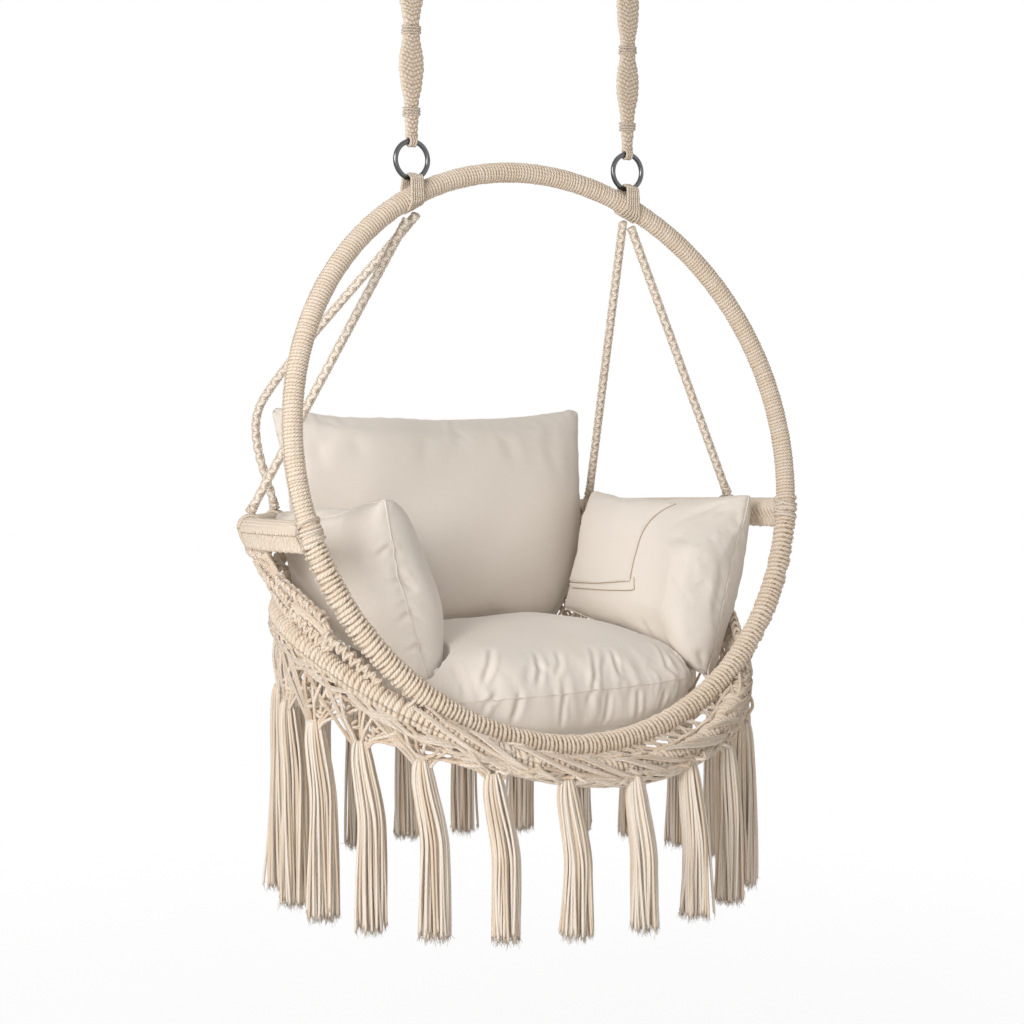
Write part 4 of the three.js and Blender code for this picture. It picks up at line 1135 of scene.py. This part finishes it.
def swell(obj, cap, steps=20):
    """cloth simulation: the skin fills out and crumples by at most `cap`"""
    cloth = obj.modifiers.new("cloth", "CLOTH")
    for key, value in (("quality", 5), ("mass", 0.3), ("tension_stiffness", 14), ("compression_stiffness", 14),
                       ("bending_stiffness", 0.6), ("use_pressure", True), ("uniform_pressure_force", 4.0)):
        setattr(cloth.settings, key, value)
    cloth.settings.effector_weights.gravity = 0
    cloth.collision_settings.use_collision = False
    cloth.point_cache.frame_start, cloth.point_cache.frame_end = 1, steps
    for number in range(1, steps + 1):
        bpy.context.scene.frame_set(number)
    bpy.context.view_layer.update()
    rest, moved = coords(obj), vectors(evaluated(obj).to_mesh())
    obj.modifiers.remove(cloth)
    bpy.context.scene.frame_set(1)
    shift = moved - rest
    size = np.linalg.norm(shift, axis=1, keepdims=True)
    set_coords(obj, rest + shift * np.minimum(1, cap / np.maximum(size, 1e-9)))


def skin(name, verts, faces, voxel, cap, cuts=(), shrink=0.004):
    obj = make_object(name, verts, faces)
    for cut in cuts:
        modify(obj, "BOOLEAN", operation="DIFFERENCE", solver="EXACT", object=cut)
    modify(obj, "REMESH", mode="VOXEL", voxel_size=voxel)
    set_coords(obj, coords(obj) - normals(obj) * shrink)
    swell(obj, cap)
    modify(obj, "SUBSURF", levels=1, render_levels=1)
    obj.data.polygons.foreach_set("use_smooth", np.ones(len(obj.data.polygons), bool))
    return obj


def nearest_on(line, co, closed, step=0.002):
    """for each point its distance from a line and how far along the line that is; the line's length"""
    line = resample(line, step, closed)
    tree = KDTree(len(line))
    for i, p in enumerate(line):
        tree.insert(p, i)
    tree.balance()
    found = [tree.find(p)[1:] for p in co]
    index, dist = (np.array(column) for column in zip(*found))
    return dist, index * step, len(line) * step


def soft_dents(co, seed, size):
    """slow hollows and swellings"""
    g = np.random.default_rng(seed)
    out = np.zeros(len(co))
    for _ in range(9):
        way = unit(g.normal(size=3)) * TAU / g.uniform(0.10, 0.24)
        out += np.sin(co @ way + g.uniform(0, TAU))
    return out * size / 3


def gathers(co, seam, seed, height, spacing, reach):
    """folds that run in from a seam, and the dip along it"""
    g = np.random.default_rng(seed)
    dist, s, total = nearest_on(seam, co, True)
    out = np.zeros(len(co))
    place = g.uniform(0, spacing)
    near = dist < reach * 2.4
    d, at = dist[near], s[near]
    push = np.zeros(len(d))
    while place < total:
        long = reach * g.uniform(0.35, 1.25)
        wide = g.uniform(0.0040, 0.0085)
        amp = height * g.uniform(0.25, 1.0)
        lean = g.uniform(-0.45, 0.45)
        off = (at - place - lean * d + total / 2) % total - total / 2
        grown = wide * (1 + 0.9 * d / long)
        push += amp * np.exp(-(d / long) ** 2) * (
            np.exp(-(off / grown) ** 2) - 0.55 * np.exp(-(off / (2.1 * grown)) ** 2))
        place += spacing * g.uniform(0.5, 1.6)
    out[near] = push * (1 - np.exp(-(d / 0.004) ** 2))
    return out - 0.0022 * np.exp(-(dist / 0.0034) ** 2)


def crease(co, line, depth, wide, lip=0.4):
    dist, s, total = nearest_on(line, co, False)
    fade = np.clip(np.minimum(s, total - s) / (0.3 * total) + 0.12, 0, 1)
    return -depth * fade * (np.exp(-(dist / wide) ** 2) - lip * np.exp(-((dist - 2.1 * wide) / wide) ** 2))


def tree_of(obj):
    return BVHTree.FromObject(obj, bpy.context.evaluated_depsgraph_get())


def on_skin(tree, pixels):
    """places on a skin that the camera sees at these pixels"""
    out = []
    for px, py in pixels:
        way = (LOOK * FOCUS + ASIDE * (px - MIDDLE) + OVER * (MIDDLE - py)).normalized()
        hit = tree.ray_cast(LENS_AT, way)[0]
        if hit is not None:
            out.append(np.array(hit))
    return out


def to_pixels(co):
    rel = co - np.array(LENS_AT)
    right, up, deep = (rel @ np.array(way) for way in (ASIDE, OVER, LOOK))
    return np.stack([MIDDLE + FOCUS * right / deep, MIDDLE - FOCUS * up / deep], -1)


def patch(obj, outline, height, soft):
    """raises the part of a skin that faces the sitter inside an outline, with a crisp edge"""
    co, nrm = coords(obj), normals(obj)
    p = to_pixels(co)
    poly = np.array(outline, float)
    inside = np.zeros(len(p), bool)
    edge = np.full(len(p), 1e9)
    for a, b in zip(poly, np.roll(poly, -1, 0)):
        crosses = (a[1] > p[:, 1]) != (b[1] > p[:, 1])
        with np.errstate(divide="ignore", invalid="ignore"):
            at = (b[0] - a[0]) * (p[:, 1] - a[1]) / (b[1] - a[1]) + a[0]
        inside ^= crosses & (p[:, 0] < at)
        t = np.clip(((p - a) @ (b - a)) / max(1e-9, float((b - a) @ (b - a))), 0, 1)
        edge = np.minimum(edge, np.linalg.norm(p - a - t[:, None] * (b - a), axis=1))
    facing = np.clip(-(nrm @ np.array(LOOK)) * 4, 0, 1)
    rise = height * np.clip(np.where(inside, edge, 0) / soft, 0, 1) * facing
    set_coords(obj, co + nrm * rise[:, None])


def seam_line(shape, matrix=None, count=46):
    run = np.linspace(-1, 1, count, endpoint=False)
    edge = [(t, -1) for t in run] + [(1, t) for t in run] + [(-t, 1) for t in run] + [(-1, -t) for t in run]
    if matrix is None:
        return np.array([shape(u, v, 1) for u, v in edge])
    return placed(matrix, [shape(u, v, 0) for u, v in edge])


def snap(obj, line, proud):
    """the line laid on the skin, standing `proud` of it"""
    tree = tree_of(obj)
    found = [tree.find_nearest(Vector(p)) for p in line]
    out = np.array([np.array(spot) + np.array(normal) * proud for spot, normal, _, _ in found])
    for _ in range(2):
        out[1:-1] = (out[:-2] + 2 * out[1:-1] + out[2:]) / 4
    return out


def welt(name, line, radius, **look):
    pile = Pile()
    pile.tube(line, radius, depth=0.12, pitch=0.003, **look)
    dress(pile.make(name), "chair", CANVAS, "canvas")


def stitches(obj, line, name, long=0.0030, aside=0.0045, fine=0.0013, every=4):
    """a row of small stitches beside a seam"""
    pile = Pile()
    line = resample(line, fine, True)
    tree = tree_of(obj)
    middle = line.mean(0)
    for i in range(0, len(line) - 3, every):
        run = unit(line[i + 2] - line[i])
        inward = unit(middle - line[i])
        inward = unit(inward - (inward @ run) * run)
        hit, normal, _, _ = tree.find_nearest(Vector(line[i] + inward * aside))
        normal = np.array(normal)
        spot = np.array(hit) + normal * 0.0002
        ends = np.stack([spot - run * long / 2, spot + normal * 0.00035, spot + run * long / 2])
        pile.tube(ends, 0.0004, ref=normal, step=0.0015, sides=5, depth=0.0, tone=0.3)
    dress(pile.make(name), "chair", CANVAS, "canvas")


def finish(obj, seam, fill, node_name, seed, height, spacing, reach, creases=()):
    """folds, dents and creases on a skin, which then takes the CAD cushion's place"""
    co, nrm = coords(obj), normals(obj)
    tree = tree_of(obj)
    push = gathers(co, seam, seed, height, spacing, reach) + soft_dents(co, seed, 0.0030)
    for *pixels, depth, wide in creases:
        line = on_skin(tree, np.reshape(pixels, (-1, 2)).tolist())
        if len(line) > 1:
            push += crease(co, np.array(line), depth / 1000, wide / 1000)
    set_coords(obj, co + nrm * push[:, None])
    dress(obj, "chair", CANVAS, "canvas", node_name)


# Arm pillows: size, side, insets of top and foot, how far back and down, lean, run to the side, fall.
ARMS = {
    "left": (PLAIN | dict(width=0.280, height=0.300, lift=0.108, front=0.110, rear=0.046, power=0.34, dip=0.06,
                          heavy=0.20),
             -1, 0.1484, 0.167, 0.022, 0.060, 0.13, -0.17, 0.13),
    "right": (PLAIN | dict(width=0.320, height=0.326, lift=0.100, front=0.078, rear=0.072, power=0.34, dip=0.10,
                           boxed=0.044),
              1, 0.0424, 0.1487, 0.0084, 0.076, 0.08, -0.38, 0.02),
}
frames = {"back": (BACK_SIZE, BACK_FRAME)}
for hand, (size, sign, top_inset, foot_inset, back_by, drop, lean_back, run_side, fall) in ARMS.items():
    top_side = sign * (RAIL_W - top_inset)
    foot_side = sign * (BASE_W - foot_inset)
    frames[hand] = (size, pillow_frame((run_side, 1, -fall), ((top_side - foot_side) / size["height"], lean_back, 1),
                                       in_hoop(top_side, back_by, drop), (size["width"], size["height"])))

# Creases: three places where the camera sees each, as x and y in pixels, then its depth and width in mm.
CREASES = {
    "back": [(455, 412, 462, 430, 458, 446, 2.0, 12), (500, 413, 505, 436, 512, 460, 1.6, 12),
             (420, 412, 428, 436, 424, 460, 1.8, 13), (552, 420, 548, 450, 555, 480, 1.4, 12),
             (300, 408, 318, 440, 322, 470, 2.6, 12), (350, 410, 352, 436, 362, 456, 1.8, 12)],
    "left": [(372, 560, 388, 548, 400, 556, 3.5, 5.0), (385, 586, 402, 578, 412, 588, 3.0, 5.0),
             (395, 625, 412, 612, 422, 618, 3.0, 4.5), (402, 655, 418, 646, 428, 652, 2.6, 4.0),
             (428, 560, 438, 585, 444, 620, 1.6, 8.0)],
    "right": [(668, 640, 700, 655, 704, 676, 3.0, 6.0), (715, 545, 722, 580, 712, 620, 1.8, 9.0),
              (640, 618, 655, 640, 662, 655, 2.2, 7.0), (715, 515, 728, 508, 742, 500, 1.8, 6.0),
              (610, 497, 622, 503, 640, 506, 1.8, 5.0)],
    "seat": [(492, 650, 489, 668, 482, 684, 4.5, 4.5), (536, 652, 541, 670, 538, 686, 3.6, 4.5),
             (558, 650, 561, 664, 556, 676, 2.4, 4.5), (592, 648, 596, 676, 589, 702, 4.0, 4.5),
             (612, 650, 618, 664, 622, 674, 3.0, 4.0), (641, 688, 639, 704, 636, 716, 4.0, 4.5),
             (658, 648, 668, 666, 682, 682, 3.6, 4.5), (670, 652, 684, 668, 700, 680, 4.0, 4.0),
             (452, 662, 460, 680, 466, 696, 3.2, 5.5), (482, 716, 488, 704, 498, 694, 3.0, 4.5),
             (668, 690, 664, 702, 658, 712, 3.4, 4.0), (520, 690, 518, 706, 512, 722, 3.0, 4.5),
             (565, 690, 562, 706, 560, 724, 2.6, 4.0), (612, 690, 609, 706, 604, 722, 2.6, 4.0)],
}
# The pocket flap on the right pillow: its curved edge, its foot, the underside of its fold. Shadow lines are painted
# along its edge, foot and fold.
FLAP_EDGE = [(676, 504), (665, 509), (655, 516), (647, 525), (641, 536), (637, 549), (633, 564)]
FLAP_LINES = [FLAP_EDGE + [(630, 580)], [(567, 582), (585, 583), (600, 583), (630, 581)],
              [(573, 588), (605, 590), (632, 590), (634, 584), (634, 577)]]
FLAP = [(594, 498)] + FLAP_EDGE + [(630, 581), (600, 585), (563, 581), (566, 552), (575, 530)]
FLAP_FOLD = [(566, 581), (600, 585), (630, 581), (634, 575), (634, 591), (605, 591), (572, 588)]
SEAM_STEP = 0.004


def flap(arm):
    patch(arm, FLAP, 0.0055, 1.6)
    patch(arm, FLAP_FOLD, 0.0026, 1.4)
    tree = tree_of(arm)
    pile = Pile()
    # thin tan tubes along the flap's edge, foot and fold: painted shadow lines
    for pixels in FLAP_LINES:
        points = on_skin(tree, curve_through(pixels, 60 // (len(pixels) - 1)).tolist())
        pile.tube(np.array(points) - np.array(LOOK) * 0.0001, 0.0008, ref=(0.3, 0.2, 1), step=0.002, sides=6,
                  depth=0.0, tone=1.0)
    cord_piece(pile.make("arm_pillow_right_flap_shadow_lines"), FLAP_SHADE)


cutters = []
for key, (size, matrix) in frames.items():
    verts, faces = sheet_grid(pillow_shape(size, 0.0012), 40, 40)
    cutters.append(make_object("press_" + key, placed(matrix, verts), faces, False))

# name, grid, voxel, cloth cap, fill, seed, gathers' height, spacing and reach, seam's height and radius
for key, name, across, high, voxel, cap, fill, seed, height, spacing, reach, proud, radius in (
        ("back", "back_cushion", 60, 46, 0.0058, 0.0060, 0.75, 3, 0.0024, 0.034, 0.060, 0.0004, 0.0011),
        ("left", "arm_pillow_left", 48, 48, 0.0050, 0.0055, 0.8, 5, 0.0026, 0.024, 0.034, 0.0005, 0.0014),
        ("right", "arm_pillow_right", 48, 48, 0.0050, 0.0055, 0.8, 8, 0.0026, 0.024, 0.034, 0.0005, 0.0014)):
    size, matrix = frames[key]
    shape = pillow_shape(size)
    verts, faces = sheet_grid(shape, across, high)
    pillow = skin(name + "_skin", placed(matrix, verts), faces, voxel, cap)
    seam = seam_line(shape, matrix)
    finish(pillow, seam, fill, name, seed, height, spacing, reach, CREASES[key])
    if key == "right":
        flap(pillow)
    line = snap(pillow, resample(seam, SEAM_STEP, True), proud)
    welt(name + "_seam", line, radius, ref=(0.3, 0.2, 1), closed=True, tone=0.2)
    stitches(pillow, line, name + "_stitches")

verts, faces = sheet_grid(seat_shape, 60, 52)
seat_skin = skin("seat_cushion_skin", verts, faces, 0.0056, 0.006, cutters)
for cutter in cutters:
    bpy.data.objects.remove(cutter)
seam = seam_line(seat_shape)
finish(seat_skin, seam, 0.8, "seat_cushion", 12, 0.0042, 0.022, 0.055, CREASES["seat"])
front = [p for p in resample(seam, SEAM_STEP, True) if p[1] < HC[1] + 0.10]
order = np.argsort([math.atan2(p[0], -(p[1] - HC[1] - 0.132)) for p in front])
line = snap(seat_skin, np.array(front)[order], 0.0001)
welt("seat_cushion_seam", line, 0.0009, ref=(0, 0.2, 1), tone=0.4)


# Floor, light.
def seen_by(tree, *rays_of):
    """1 for the named kinds of ray"""
    path = node(tree, "LightPath").outputs
    share = path[f"Is {rays_of[0]} Ray"]
    for kind in rays_of[1:]:
        share = calc(tree, "MAXIMUM", share, path[f"Is {kind} Ray"])
    return share


def floor_and_world(floor_z):
    """a pale floor that fades into the white background with the distance, and a soft warm surround"""
    floor = make_object("floor", [(-9, -9, floor_z), (9, -9, floor_z), (9, 9, floor_z), (-9, 9, floor_z)],
                        [[0, 1, 2, 3]], False)
    m, tree, bsdf, _ = new_material("pale_floor", 0.9, specular=0.5)
    bsdf.inputs["Base Color"].default_value = (0.86, 0.85, 0.84, 1)
    far = node(tree, "VectorMath", node(tree, "NewGeometry").outputs["Position"], (0, 0, floor_z),
               operation="DISTANCE").outputs["Value"]
    fade = node(tree, "MapRange", interpolation_type="SMOOTHSTEP",
                **{"Value": far, "From Min": 0.5, "From Max": 2.4, "To Min": 0.90, "To Max": 1.0}).outputs[0]
    share = calc(tree, "MULTIPLY", seen_by(tree, "Camera", "Glossy"), fade)
    mix = node(tree, "MixShader", share, bsdf.outputs[0], node(tree, "Emission", Strength=1.0).outputs[0])
    tree.links.new(mix.outputs[0], tree.nodes["Material Output"].inputs["Surface"])
    floor.data.materials.append(m)

    world = bpy.data.worlds.new("studio")
    bpy.context.scene.world = world
    world.use_nodes = True
    tree = world.node_tree
    tree.nodes.clear()
    soft = node(tree, "Background", Color=(1.0, 0.958, 0.91, 1), Strength=0.37)
    white = node(tree, "Background", Color=(1, 1, 1, 1), Strength=1.0)
    mix = node(tree, "MixShader", seen_by(tree, "Camera", "Glossy", "Transmission"), soft.outputs[0],
               white.outputs[0])
    node(tree, "OutputWorld", mix.outputs[0])


def lamp(name, spot, aim, size, power, colour=(1, 1, 1)):
    data = bpy.data.lights.new(name, "AREA")
    data.shape = "DISK"
    data.size = size
    data.energy = power
    data.color = colour
    obj = bpy.data.objects.new(name, data)
    bpy.context.scene.collection.objects.link(obj)
    obj.location = spot
    obj.rotation_euler = (Vector(aim) - Vector(spot)).to_track_quat("-Z", "Y").to_euler()


floor_and_world(-1.559 - 0.42)
CHAIR = (0, 0.05, -1.0)
DAYLIGHT = (1.0, 0.99, 0.975)
lamp("key", (-3.1, -1.5, 0.1), CHAIR, 1.8, 85, DAYLIGHT)
lamp("fill", (1.8, -3.0, -0.4), CHAIR, 2.6, 9, (1.0, 0.98, 0.95))
lamp("kicker", (-1.7, -2.7, -0.8), (-0.3, 0.0, -1.1), 0.8, 10, DAYLIGHT)
lamp("top", (0.2, 0.3, 2.4), CHAIR, 2.0, 13)
lamp("rim", (1.6, 2.8, 0.2), CHAIR, 2.0, 26)
view = bpy.context.scene.view_settings
view.view_transform = "Standard"
